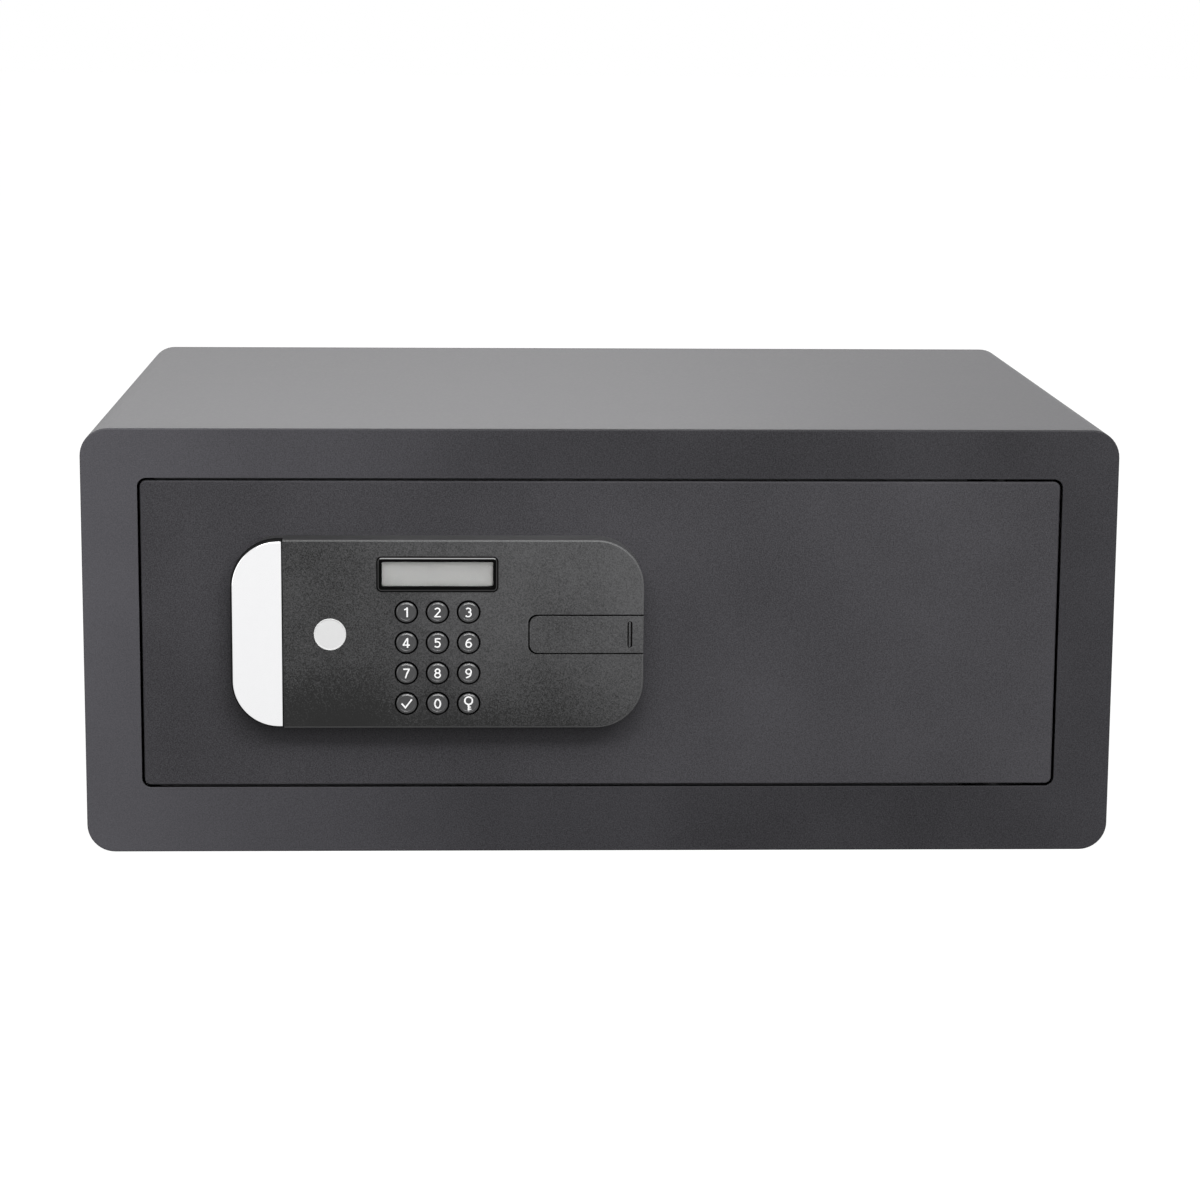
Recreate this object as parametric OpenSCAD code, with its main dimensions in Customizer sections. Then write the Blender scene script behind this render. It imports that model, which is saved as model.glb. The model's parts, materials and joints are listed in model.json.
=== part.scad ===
// Motorised laptop safe with a flush front door, a keypad panel and a two-bolt lock.
// +X is to the right, +Y goes into the safe and +Z is up. The origin is the middle of the base.

/* [Safe body] */
// Width of the safe
safe_w = 480; // [470:1:520]
// Height of the safe
safe_h = 200; // [190:1:240]
// Depth of the steel body, without the keypad panel
safe_d = 350; // [300:1:420]
// Outer radius of the four long edges
body_r = 13; // [10:0.5:18]
// Wall of the folded steel wrap
body_t = 2; // [1.5:0.5:3]
// Thickness of the front frame plate
front_t = 3; // [2.5:0.5:4]
// Thickness of the back plate
back_t = 2; // [1.5:0.5:3]
// Width of the frame left and right of the door opening
frame_side = 26; // [24:0.5:30]
// Height of the frame above the door opening
frame_top = 23; // [21:0.5:26]
// Height of the frame below the door opening
frame_bottom = 31; // [28:0.5:34]
// Radius of the anchor bolt holes
anchor_r = 5.5; // [4:0.5:7]
// Distance between the two anchor holes, in the base and in the back
anchor_pitch = 300; // [200:5:360]
// Distance of the base anchor holes behind the middle of the safe
anchor_back = 60; // [30:1:90]
// Thickness of the carpet on the floor
mat_t = 3; // [2:0.5:5]

/* [Door] */
// Thickness of the door plate
door_t = 5; // [4.5:0.5:7]
// Gap round the door plate
door_gap = 1.2; // [1.1:0.1:2]
// Corner radius of the door plate
door_r = 3; // [2:0.5:6]
// Radius of the hinge pins
pin_r = 3; // [2.5:0.1:3.6]
// How far a hinge pin reaches into the door
pin_grip = 14; // [10:1:18]
// Thickness of the hinge lugs behind the frame
lug_t = 8; // [6:0.5:10]
// How far the door stops reach over the back of the door
stop_lap = 4; // [3:0.5:5]

/* [Bolt work] */
// Radius of the locking bolts
bolt_r = 9; // [7:0.5:10]
// Length of a locking bolt in front of its carrier
bolt_len = 47; // [44:1:54]
// Distance of the bolt axes behind the door's front
bolt_back = 20; // [19:0.5:22]
// Throw of the bolts
bolt_throw = 18; // [14:0.5:20]
// Thickness of the sliding bolt carrier
carrier_t = 3; // [2.5:0.5:4]
// Teeth of the drive pinion and of the override gear
gear_teeth = 18; // [17:1:19]
// Module of the teeth
gear_module = 1.25; // [1.2:0.05:1.3]

/* [Keypad panel] */
// Width of the panel
panel_w = 190; // [180:1:200]
// Height of the panel
panel_h = 88; // [84:1:96]
// How far the panel stands out of the door
panel_d = 14; // [13.5:0.5:18]
// Corner radius of the panel
panel_r = 22; // [18:1:26]
// Wall of the moulded housing
panel_wall = 2.2; // [1.8:0.1:2.4]
// Thickness of the panel's base plate
base_t = 4; // [3.5:0.5:4.5]
// Distance from the door's free edge to the panel
panel_margin = 41.8; // [38:0.1:46]
// Height of the panel's middle above the door's middle
panel_rise = 2.5; // [0:0.5:4]
// Width of the bright grip cap
cap_w = 24.2; // [22:0.1:26]
// Depth of the finger gap behind the grip cap
grip_gap = 8; // [7.5:0.5:9]
// How far the finger gap reaches in behind the cap
grip_reach = 14; // [11:1:16]
// Radius of the plain round inlay
inlay_r = 7.55; // [6:0.05:9]
// Distance of the inlay from the panel's middle
inlay_u = 49.4; // [46:0.1:54]

/* [Keys and display] */
// Radius of a key
key_r = 5.1; // [4.6:0.1:5.4]
// Gap round a key
key_gap = 0.45; // [0.3:0.05:0.6]
// How far a key stands out of the panel
key_proud = 1; // [0.9:0.1:1.4]
// Travel of a key
key_travel = 0.8; // [0.5:0.1:0.8]
// Distance from key to key
key_pitch = 14.3; // [14:0.1:14.6]
// Height of the top row of keys above the panel's middle
key_top = 10.5; // [10:0.1:11]
// Width of the display window
window_w = 51; // [46:0.1:54]
// Height of the display window
window_h = 11.5; // [10:0.1:12]
// Width of the glossy rim round the display
rim_w = 2.5; // [2.2:0.1:3]
// Height of the display above the panel's middle
display_v = 28.2; // [28:0.1:29]

/* [Key cover and override lock] */
// Length of the sliding key cover
cover_w = 53; // [48:0.5:54]
// Height of the sliding key cover
cover_h = 18.2; // [17:0.1:20]
// Thickness of the sliding key cover
cover_t = 2.2; // [1.8:0.1:2.4]
// Distance from the cover's inner end to the lock cylinder
lock_u = 20; // [18:0.5:24]
// Radius of the lock cylinder
lock_r = 7.5; // [7:0.25:7.75]
// Radius of the lock's plug
plug_r = 5; // [4.8:0.1:5.5]
// Width of the keyway
keyway_w = 1.6; // [1.4:0.1:2]
// Height of the keyway
keyway_h = 8; // [7:0.5:8.5]

/* [Door cover and batteries] */
// Depth of the steel cover behind the door plate
tray_d = 30; // [29:0.5:34]
// Sheet thickness of the steel cover
tray_t = 1.5; // [1.2:0.1:2]
// Margin of the steel cover inside the door's edges
tray_margin = 9.5; // [8.5:0.5:11]
// Radius of a battery
cell_r = 7.1; // [6.9:0.05:7.2]
// Length of a battery
cell_len = 50.5; // [50:0.1:51]
// Travel of the reset button
button_travel = 1.5; // [1:0.1:2]

/* [Hidden] */
$fn = 48;

// Clearances
fit = 0.02;          // a pin pressed into its seat
run = 0.05;          // a shaft that turns or a bolt that slides
slack = 0.25;        // moulded parts and loose holes
seat = 0.1;          // a part laid into a pocket

// Body and door opening
front_y = -safe_d / 2;
opening_w = safe_w - 2 * frame_side;
opening_h = safe_h - frame_top - frame_bottom;
opening_r = door_r + door_gap;
door_w = opening_w - 2 * door_gap;
door_h = opening_h - 2 * door_gap;
door_z = frame_bottom + opening_h / 2;
edge_chamfer = 0.5;
mat_front_gap = 12;      // from the door cover to the carpet
mat_rear_gap = 1;
mat_corner = 8;
mat_hole_margin = 7;     // room for the washer of an anchor bolt
striker_w = 14;
striker_gap = 0.5;       // from the striker bar to a thrown bolt
striker_inset = 2;       // from the door opening to the striker bar
striker_short = 4;       // how much the striker bar is shorter than the door, at each end
stop_sheet = 2;
stop_end_gap = 8;        // from the free edge of the door opening to a stop
stop_hinge_gap = 7;      // from a hinge block to a stop
stop_play = 0.3;         // from the back of the door to a stop's lip
stop_fold = 1;           // from the door opening to the fold of a stop
stop_weld = 11;          // width of a stop's flange on the frame
stop_web = 3;            // width of the step between the lip and the flange

// Hinge: the axis lies just behind the frame plate, and far enough in from the door's edge
// for the front corner of the door to swing through the gap.
pin_wall = 1.2;
swing_margin = 0.25;     // what is left of the gap when the door's front corner swings by
pivot_back = front_t + pin_r + pin_wall;
swing_play = door_gap - swing_margin;
pivot_inset = (pivot_back * pivot_back - swing_play * swing_play) / (2 * swing_play);
pivot_u = door_w / 2 - pivot_inset;
pin_lead = 0.6;
hinge_wall = 5;          // steel round a pin
block_side = 1;          // how much a hinge block is wider than its lug, at each side
block_end = 8;           // steel beyond the end of a pin
washer_wall = 2;
lug_r = pin_r + hinge_wall;
block_w = 2 * (lug_r + block_side);
block_d = pivot_back - door_t + lug_r;
block_h = pin_grip + block_end;
washer_r = pin_r + washer_wall;

// Door cover, a folded tray of which the outside is measured
door_l = -door_w / 2;
hinge_play = 4.5;        // from the door cover to the hinge blocks
tray_side = 6.5;         // from the door's free edge to the door cover
tray_l = door_l + tray_side;
tray_r = pivot_u - block_w / 2 - hinge_play;
tray_w = tray_r - tray_l;
tray_u = (tray_l + tray_r) / 2;
tray_h = door_h - 2 * tray_margin;
tray_corner = 5;
tray_back = door_t + tray_d;
tray_inner = tray_back - tray_t;

// Bolt work, measured from the door's free edge and behind the door's front
bolt_inset = 5.5;        // from the door's free edge to the tips of the drawn bolts
bolt_bevel = 1.5;
bolt_tip_u = door_l + bolt_inset;
flange_u = bolt_tip_u + bolt_len;
carrier_lag = 4;         // from the bolt axes to the carrier
carrier_front = bolt_back + carrier_lag;
carrier_back = carrier_front + carrier_t;
spigot_r = 5;
spigot_over = 2;         // how far a bolt's spigot stands out of its nut
nut_t = 8;
nut_r = 9;
guide_inset = 12.5;      // from the door's free edge to the bolt guide
guide_u = door_l + guide_inset;
guide_t = 4;
guide_edge = 4;          // steel outside a bolt
guide_play = 5.5;        // from the bolt guide to the inside of the door cover
guide_foot = 12;
guide_foot_t = 3;
guide_h = tray_h - 2 * tray_t - 2 * guide_play;
bolt_pitch = guide_h - 2 * (bolt_r + guide_edge);

pitch_r = gear_teeth * gear_module / 2;
tip_r = pitch_r + gear_module;
root_depth = 1.25 * gear_module;
gear_pitch = PI * gear_module;
pressure = 20;
backlash = 0.2;
gear_side = 1.5;         // how much a gear is wider than the carrier, at each side
gear_front = carrier_front - gear_side;
gear_face = carrier_t + 2 * gear_side;
gear_clear = 1;          // from a gear to the part behind its face
gear_hub_t = 2;
gear_hub_wall = 2;
shaft_r = 3;
shaft_len = 8;
pinion_lead = 70;        // from the carrier's flange to the drive pinion
pinion_u = flange_u + pinion_lead;

neck_r = 4;
post_r = 6;
post_head_r = 6.5;
post_head_t = 2;
post_lead = 16;          // from the carrier's flange to the first posts
post_after = 45;         // from the drive pinion to the second posts
post_u_first = flange_u + post_lead;
post_u_second = pinion_u + post_after;
post_play = 0.2;         // from a post's shoulder to the carrier
slot_play = 0.3;
slot_edge = 4;           // steel outside a slot of the carrier
nut_clear = 1;           // from a bolt's nut to the carrier's plate
plate_h = bolt_pitch - 2 * (nut_r + nut_clear);
post_v = plate_h / 2 - neck_r - slot_edge;
plate_end = 6;           // steel beyond the last rack window

gearbox_w = 36;
gearbox_h = 26;
gearbox_back = gear_front - gear_clear;
gearbox_r = 3;
ear = 9;
ear_t = 2.5;
ear_hole_r = 1.6;
shaft_boss_w = 3;
shaft_boss_t = 0.6;
motor_r = 7.5;
motor_len = 30;
motor_cap_r = 5.5;
motor_cap_t = 1.6;
motor_stub_r = 1.5;
motor_stub_l = 2;
motor_back = (door_t + gearbox_back) / 2;

// Panel
panel_u = door_l + panel_margin + panel_w / 2;
panel_edge = 0.7;
cap_skin = 1.6;
cap_edge = 1;
cap_play = 0.2;
cap_gap = 0.4;           // the dark line between the cap and the housing
cap_right = -panel_w / 2 + cap_w;
grip_u = -panel_w / 2 + grip_reach;
face_w = panel_d - panel_wall;       // the inner side of the panel's front wall
board_t = 1.6;
board_lift = 2.4;
board_back = base_t + board_lift;
board_front = board_back + board_t;
board_l = -56;
board_side = 3.8;        // from the wall of the key pocket to the circuit board
board_margin = 4;
board_r = panel_w / 2 - cover_w - panel_wall - board_side;
board_v = panel_h / 2 - board_margin;
board_notch_r = 1.5;
board_post_r = 3;
board_post_in = 4;
mat_sheet = 0.8;
mat_edge_u = 7;
mat_edge_v = 6;
dome_h = 0.9;
dome_r = 3.4;
key_flange_lip = 0.9;    // how far a key's flange reaches behind the housing
key_flange_r = key_r + key_gap + key_flange_lip;
key_flange_t = 1;
key_dish = 0.25;
key_crown = [[0, 0.7], [0.15, 0.35], [0.4, 0.12], [0.8, 0], [1.6, 0.12], [3, key_dish]];
stem_r = 2.4;
stem_end = board_front + mat_sheet + dome_h + key_travel + run;
inlay_depth = 0.8;
inlay_proud = 0.3;
rim_proud = 0.8;
rim_r = 2.4;
rim_edge = 0.5;
lens_t = 1;
lens_sunk = 0.6;
lens_front = panel_d - lens_sunk;
lens_lip_u = 2.6;        // how much larger the lens is than the window
lens_lip_v = 2;
lens_r = 1.2;
module_front = lens_front - lens_t - seat;
module_r = 0.8;
window_r = 0.6;
screw_r = 2;
screw_head_r = 4;
screw_head_t = 2.4;
screw_bite = 7;
screw_spare = 0.5;
boss_r = 4;
screw_left_u = -62;
screw_left_v = 36;
screw_right_in = 15;     // from the panel's right end
screw_right_v = 28;
panel_screws_at = [
    for (s = [1, -1]) each
        [[screw_left_u, s * screw_left_v], [panel_w / 2 - screw_right_in, s * screw_right_v]]
];
board_posts_at = [
    for (u = [board_l + board_post_in, board_r - board_post_in], s = [-1, 1])
        [u, s * (board_v - board_post_in)]
];
cable_v = 34;
cable_r = 6;
grommet_wall = 2;
grommet_lip_w = 1.5;
grommet_lip_t = 1.2;
lead_r = 1.2;
lead_sides = 8;
lead_gap = 3.2;
lead_depth = 9;
lead_end = 23;
lead_turn = 12;          // from the battery holder to the lead's last turn
lead_drop = 14;
lead_on_motor = 10;      // from the gearbox to the lead's end on the motor
bend_r = 3;

// Key cover and lock
cover_l = panel_w / 2 - cover_w;
cover_r = 4;
cover_side = 2.2;
pocket_wall = 2.2;
rail_t = 1.2;
rail_out = 0.8;
rail_drop = 1.6;         // from the inside of the panel's front wall to a rail
rail_lead = 2;
rail_w = face_w - rail_drop;
rail_start = cover_l + cover_r + rail_lead;
cover_end_drop = 0.5;
finger_slot_w = 2.3;
finger_slot_l = 13;
finger_slot_in = 6.4;
finger_slot_d = 0.8;
lock_x = cover_l + lock_u;
lock_flange_w = 1.2;
lock_flange_r = lock_r + lock_flange_w;
lock_flange_t = 1.2;
lock_nut_w = 5;
lock_nut_r = lock_r + lock_nut_w;
lock_nut_t = 3;
lock_tail = gear_front - gear_clear;
plug_over = 0.5;
keyway_deep = 20;
tail_w = 6;
tail_end = 1.5;
lock_door_u = panel_u + lock_x;

// Batteries and reset button in the door cover
standoff_r = 4.5;
standoff_inset = 8;      // from the door cover's upper and lower edge
standoff_first = 40;     // from the carrier's flange
standoff_second = 44;    // from the lock cylinder
standoff_last = 10;      // from the door cover's hinge side
standoff_us = [flange_u + standoff_first, lock_door_u + standoff_second, tray_r - standoff_last];
standoffs_at = [for (u = standoff_us, s = [-1, 1]) [u, s * (tray_h / 2 - standoff_inset)]];
cover_screw_len = 12;
bolt_window = 0.6;       // room round a bolt in the door cover
cell_count = 4;
cell_play = 1;
spring_room = 3.5;
cell_step = 2 * cell_r + cell_play;
well_w = cell_count * cell_step;
well_h = cell_len + spring_room;
well_d = 2 * cell_r + cell_play;
holder_wall = 1.6;
rebate = 1;
lid_t = 1.9;
lid_play = 0.3;
lid_grip_w = 18;
lid_grip_h = 7;
lid_grip_d = 1;
lid_grip_r = 3;
lid_grip_in = 1;
lid_rib_l = 24;
lid_rib_r = 0.8;
lid_rib_d = 0.4;
lid_rib_step = 4;
lid_rib_first = 6;
lid_rib_count = 4;
holder_margin = 22;      // from the battery holder to the hinge side of the door cover
holder_flange = 5;
holder_flange_t = 1.4;
holder_flange_r = 3;
holder_corner = 1;
holder_w = well_w + 2 * rebate + 2 * holder_wall;
holder_h = well_h + 2 * rebate + 2 * holder_wall;
holder_u = tray_r - holder_margin - holder_w / 2;
holder_side = holder_u - holder_w / 2;
holder_back = tray_back + holder_flange_t;
lid_floor = holder_back - lid_t - seat;
well_floor = lid_floor - well_d;
contact_t = 0.4;
contact_w = 5;
spring_foot_r = 4.5;
spring_tip_r = 3;
nub_r = 2.75;
nub_h = 1;
button_r = 4;
button_proud = 3;
button_bevel = 0.6;
button_collar = 1.5;
button_lip = 1;
button_tail = 1.5;
button_tail_r = 2;
button_margin = 28;      // from the battery holder to the reset button
switch_r = 7;
switch_d = 12;
switch_spare = 1.5;      // room behind the button at the end of its travel
switch_foot_w = 9;
switch_foot_h = 5;
switch_foot_t = 2;
switch_clear = 3;        // from the bolt carrier to the reset switch
button_u = holder_side - button_margin;
button_v = plate_h / 2 + switch_r + switch_clear;

// Places what is drawn facing the viewer: u to the right, v up and w out of the door's front.
module door_front() {
    translate([0, front_y, door_z]) rotate([90, 0, 0]) children();
}

// The same for the keypad panel, whose middle is the origin.
module panel_front() {
    door_front() translate([panel_u, panel_rise, 0]) children();
}

// The same for the safe body, from the middle of its front at floor level.
module safe_front() {
    translate([0, front_y, 0]) rotate([90, 0, 0]) children();
}

function edge_profile(w, t, e) =
    [[-w / 2, 0], [w / 2, 0], [w / 2, t - e], [w / 2 - e, t], [e - w / 2, t], [-w / 2, t - e]];

// A plate with four rounded corners, and a chamfer e round its upper face.
module slab(w, h, t, r, e = 0) {
    rotate([90, 0, 90]) translate([0, 0, r - w / 2])
        linear_extrude(w - 2 * r) polygon(edge_profile(h, t, e));
    rotate([90, 0, 0]) translate([0, 0, r - h / 2])
        linear_extrude(h - 2 * r) polygon(edge_profile(w, t, e));
    for (u = [r - w / 2, w / 2 - r], v = [r - h / 2, h / 2 - r]) translate([u, v, 0]) {
        cylinder(r = r, h = t - e);
        if (e > 0) translate([0, 0, t - e]) cylinder(r1 = r, r2 = r - e, h = e);
    }
}

// A slot with round ends along u, for cutting.
module long_hole(length, r, depth) {
    translate([-length / 2, -r, 0]) cube([length, 2 * r, depth]);
    for (u = [-length / 2, length / 2]) translate([u, 0, 0]) cylinder(r = r, h = depth);
}

// A box given by its lowest and highest corner.
module block(low, high) {
    translate(low) cube(high - low);
}

// Involute spur gear: a tooth points along -v, and its flanks are points on the involute.
base_r = pitch_r * cos(pressure);
function involute_deg(r) =
    r <= base_r ? 0 : let (t = sqrt(pow(r / base_r, 2) - 1)) t * 180 / PI - atan(t);
function half_tooth(r) =
    90 / gear_teeth - (backlash / 2) / pitch_r * 90 / PI + involute_deg(pitch_r) - involute_deg(r);
gear_radii = [
    pitch_r - root_depth, base_r, base_r + 0.3 * (tip_r - base_r),
    base_r + 0.6 * (tip_r - base_r), base_r + 0.8 * (tip_r - base_r), tip_r
];
gear_points = [
    for (k = [0:gear_teeth - 1]) let (at = -90 + k * 360 / gear_teeth) each concat(
        [for (r = gear_radii) r * [cos(at - half_tooth(r)), sin(at - half_tooth(r))]],
        [for (i = [len(gear_radii) - 1:-1:0]) let (r = gear_radii[i])
            r * [cos(at + half_tooth(r)), sin(at + half_tooth(r))]]
    )
];

module spur_gear(face) {
    linear_extrude(face) polygon(gear_points);
}

// The window in the bolt carrier round a gear, with rack teeth along its lower edge.
window_play = 1;
window_head = 1.5;
window_side = tip_r + window_play;
window_top = tip_r + window_head;
plate_r_end = lock_door_u + window_side + bolt_throw + plate_end;
module rack_window() {
    tooth = gear_pitch / 2 - backlash / 2;
    flank = tan(pressure);
    low = -pitch_r - root_depth;
    count = floor((2 * window_side + bolt_throw) / gear_pitch);
    first = -floor(window_side / gear_pitch);
    linear_extrude(carrier_t + 2) difference() {
        translate([-window_side, low])
            square([2 * window_side + bolt_throw, window_top - low]);
        for (k = [first:first + count - 1]) translate([(k + 0.5) * gear_pitch, -pitch_r])
            polygon([
                [-tooth / 2 - root_depth * flank, -root_depth - 0.01],
                [gear_module * flank - tooth / 2, gear_module],
                [tooth / 2 - gear_module * flank, gear_module],
                [tooth / 2 + root_depth * flank, -root_depth - 0.01]
            ]);
    }
}

// Safe body

module body_wrap() {
    length = safe_d - front_t - back_t;
    color("#47464a") difference() {
        safe_front() translate([0, safe_h / 2, -front_t - length]) difference() {
            slab(safe_w, safe_h, length, body_r);
            translate([0, 0, -1])
                slab(safe_w - 2 * body_t, safe_h - 2 * body_t, length + 2, body_r - body_t);
        }
        for (x = [-1, 1]) translate([x * anchor_pitch / 2, anchor_back, -1])
            cylinder(r = anchor_r, h = body_t + 2);
    }
}

module front_frame() {
    color("#454448") safe_front() difference() {
        translate([0, safe_h / 2, -front_t]) slab(safe_w, safe_h, front_t, body_r, edge_chamfer);
        translate([0, door_z, -front_t - 1]) slab(opening_w, opening_h, front_t + 2, opening_r);
    }
}

module back_panel() {
    color("#47464a") safe_front() difference() {
        translate([0, safe_h / 2, -safe_d]) slab(safe_w, safe_h, back_t, body_r);
        for (x = [-1, 1]) translate([x * anchor_pitch / 2, safe_h / 2, -safe_d - 1])
            cylinder(r = anchor_r, h = back_t + 2);
    }
}

module floor_mat() {
    mat_front = front_y + tray_back + mat_front_gap;
    mat_rear = safe_d / 2 - back_t - mat_rear_gap;
    color("#2b2b2d") difference() {
        translate([0, (mat_front + mat_rear) / 2, body_t])
            slab(safe_w - 2 * body_t - 2 * body_r, mat_rear - mat_front, mat_t, mat_corner);
        for (x = [-1, 1]) translate([x * anchor_pitch / 2, anchor_back, 0])
            cylinder(r = anchor_r + mat_hole_margin, h = body_t + mat_t + 1);
    }
}

module striker_bar() {
    color("#5b5c60") door_front()
        block([-opening_w / 2 - striker_inset - striker_w, striker_short - door_h / 2,
               striker_gap + bolt_r - bolt_back],
              [-opening_w / 2 - striker_inset, door_h / 2 - striker_short, -front_t]);
}

// A joggled strip behind the frame whose lip reaches over the back of the door.
module door_stop(side) {
    lip = door_t + stop_play;
    fold = opening_h / 2 + stop_fold;
    flange = fold + stop_weld;
    web = fold + stop_web;
    reach = door_h / 2 - stop_lap;
    stop_l = stop_end_gap - opening_w / 2;
    stop_r = pivot_u - block_w / 2 - stop_hinge_gap;
    color("#5b5c60") door_front() mirror([0, side < 0 ? 1 : 0, 0])
        translate([stop_l, 0, 0]) rotate([90, 0, 90]) linear_extrude(stop_r - stop_l)
            polygon([
                [fold, -front_t], [flange, -front_t], [flange, -front_t - stop_sheet],
                [web, -front_t - stop_sheet], [web, -lip - stop_sheet],
                [reach, -lip - stop_sheet], [reach, -lip], [fold, -lip]
            ]);
}

module hinge_lug(side) {
    weld = front_t - pivot_back;
    color("#5b5c60") translate([pivot_u, front_y + pivot_back, door_z]) mirror([0, 0, side < 0 ? 1 : 0])
        translate([0, 0, opening_h / 2]) difference() {
            union() {
                cylinder(r = lug_r, h = lug_t);
                block([-lug_r, weld, 0], [lug_r, 0, lug_t]);
            }
            block([-lug_r - 1, -2 * lug_r, -1], [lug_r + 1, weld, lug_t + 1]);
            translate([0, 0, -1]) cylinder(r = pin_r + fit, h = lug_t + 2);
        }
}

module hinge_pins() {
    length = lug_t + door_gap + pin_grip;
    color("#a9abae") translate([pivot_u, front_y + pivot_back, door_z])
        for (side = [0, 1]) mirror([0, 0, side]) translate([0, 0, door_h / 2 - pin_grip]) {
            cylinder(r1 = pin_r - pin_lead, r2 = pin_r, h = pin_lead);
            translate([0, 0, pin_lead]) cylinder(r = pin_r, h = length - pin_lead);
        }
}

module thrust_washer() {
    color("#b08d57") translate([pivot_u, front_y + pivot_back, frame_bottom]) difference() {
        cylinder(r = washer_r, h = door_gap);
        translate([0, 0, -1]) cylinder(r = pin_r + run, h = door_gap + 2);
    }
}

// Door plate and hinge blocks

module pin_bores() {
    for (s = [0, 1]) mirror([0, s, 0])
        translate([pivot_u, door_h / 2 - pin_grip - 1, -pivot_back])
            rotate([-90, 0, 0]) cylinder(r = pin_r + run, h = pin_grip + 2);
}

module door_plate() {
    color("#444347") door_front() difference() {
        translate([0, 0, -door_t]) slab(door_w, door_h, door_t, door_r, edge_chamfer);
        pin_bores();
        translate([0, 0, -door_t - 1]) {
            translate([lock_door_u, panel_rise, 0]) cylinder(r = lock_r + seat, h = door_t + 2);
            translate([panel_u, panel_rise + cable_v, 0]) cylinder(r = cable_r, h = door_t + 2);
            for (p = panel_screws_at) translate([panel_u + p[0], panel_rise + p[1], 0])
                cylinder(r = screw_r + run, h = door_t + 2);
        }
    }
}

module hinge_block(side) {
    color("#5b5c60") door_front() mirror([0, side < 0 ? 1 : 0, 0]) difference() {
        block([pivot_u - block_w / 2, door_h / 2 - block_h, -door_t - block_d],
              [pivot_u + block_w / 2, door_h / 2, -door_t]);
        pin_bores();
    }
}

// Bolt work

module bolt_guide() {
    reach = bolt_back + bolt_r + guide_edge;
    foot_v = bolt_pitch / 2 - bolt_r - guide_edge;
    color("#6d6e72") door_front() difference() {
        union() {
            block([guide_u, -guide_h / 2, -reach], [guide_u + guide_t, guide_h / 2, -door_t]);
            block([guide_u, -foot_v, -door_t - guide_foot_t], [guide_u + guide_foot, foot_v, -door_t]);
        }
        for (v = [-1, 1]) translate([guide_u - 1, v * bolt_pitch / 2, -bolt_back])
            rotate([0, 90, 0]) cylinder(r = bolt_r + run, h = guide_t + 2);
    }
}

module guide_posts() {
    shoulder = carrier_front - post_play;
    neck = carrier_t + 3 * post_play;
    color("#a9abae") door_front()
        for (u = [post_u_first, post_u_second], s = [-1, 1]) translate([u, s * post_v, 0]) {
            translate([0, 0, -shoulder]) cylinder(r = post_r, h = shoulder - door_t);
            translate([0, 0, -shoulder - neck]) cylinder(r = neck_r, h = neck);
            translate([0, 0, -shoulder - neck - post_head_t]) cylinder(r = post_head_r, h = post_head_t);
        }
}

module bolt_carrier() {
    color("#7d7f83") door_front() difference() {
        union() {
            block([flange_u, -plate_h / 2, -carrier_back], [plate_r_end, plate_h / 2, -carrier_front]);
            block([flange_u, -bolt_pitch / 2 - bolt_r, -carrier_back],
                  [flange_u + carrier_t, bolt_pitch / 2 + bolt_r, bolt_r - bolt_back]);
        }
        for (u = [post_u_first, post_u_second], s = [-1, 1])
            translate([u + bolt_throw / 2, s * post_v, -carrier_back - 1])
                long_hole(bolt_throw + slot_play, neck_r + slack, carrier_t + 2);
        translate([pinion_u, 0, -carrier_back - 1]) rack_window();
        translate([lock_door_u, panel_rise, -carrier_back - 1]) rack_window();
        for (v = [-1, 1]) translate([flange_u - 1, v * bolt_pitch / 2, -bolt_back])
            rotate([0, 90, 0]) cylinder(r = spigot_r + fit, h = carrier_t + 2);
    }
}

module locking_bolts() {
    spigot = carrier_t + nut_t + spigot_over;
    color("#c3c5c8") door_front() for (v = [-1, 1])
        translate([bolt_tip_u, v * bolt_pitch / 2, -bolt_back]) rotate([0, 90, 0]) {
            cylinder(r1 = bolt_r - bolt_bevel, r2 = bolt_r, h = bolt_bevel);
            translate([0, 0, bolt_bevel]) cylinder(r = bolt_r, h = bolt_len - bolt_bevel);
            translate([0, 0, bolt_len]) cylinder(r = spigot_r, h = spigot);
        }
}

module bolt_nuts() {
    color("#a9abae") door_front() for (v = [-1, 1])
        translate([flange_u + carrier_t, v * bolt_pitch / 2, -bolt_back]) rotate([0, 90, 0])
            difference() {
                cylinder(r = nut_r, h = nut_t, $fn = 6);
                translate([0, 0, -1]) cylinder(r = spigot_r + fit, h = nut_t + 2);
            }
}

module motor_gearbox() {
    color("#55575b") door_front() difference() {
        union() {
            translate([pinion_u, 0, -gearbox_back])
                slab(gearbox_w, gearbox_h, gearbox_back - door_t, gearbox_r);
            translate([pinion_u, 0, -door_t - ear_t]) slab(1.5 * ear, gearbox_h + 2 * ear, ear_t, ear / 2);
            translate([pinion_u, 0, -gearbox_back - shaft_boss_t])
                cylinder(r = shaft_r + shaft_boss_w, h = 1);
        }
        translate([pinion_u, 0, -gearbox_back - 1]) cylinder(r = shaft_r + run, h = shaft_len + 1);
        for (s = [-1, 1]) translate([pinion_u, s * (gearbox_h / 2 + ear / 2), -door_t - ear_t - 1])
            cylinder(r = ear_hole_r, h = ear_t + 2);
    }
}

module bolt_motor() {
    color("#9a9ca0") door_front()
        translate([pinion_u + gearbox_w / 2, 0, -motor_back]) rotate([0, 90, 0]) {
            cylinder(r = motor_r, h = motor_len);
            translate([0, 0, motor_len]) cylinder(r = motor_cap_r, h = motor_cap_t);
            translate([0, 0, motor_len + motor_cap_t]) cylinder(r = motor_stub_r, h = motor_stub_l);
        }
}

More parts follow.
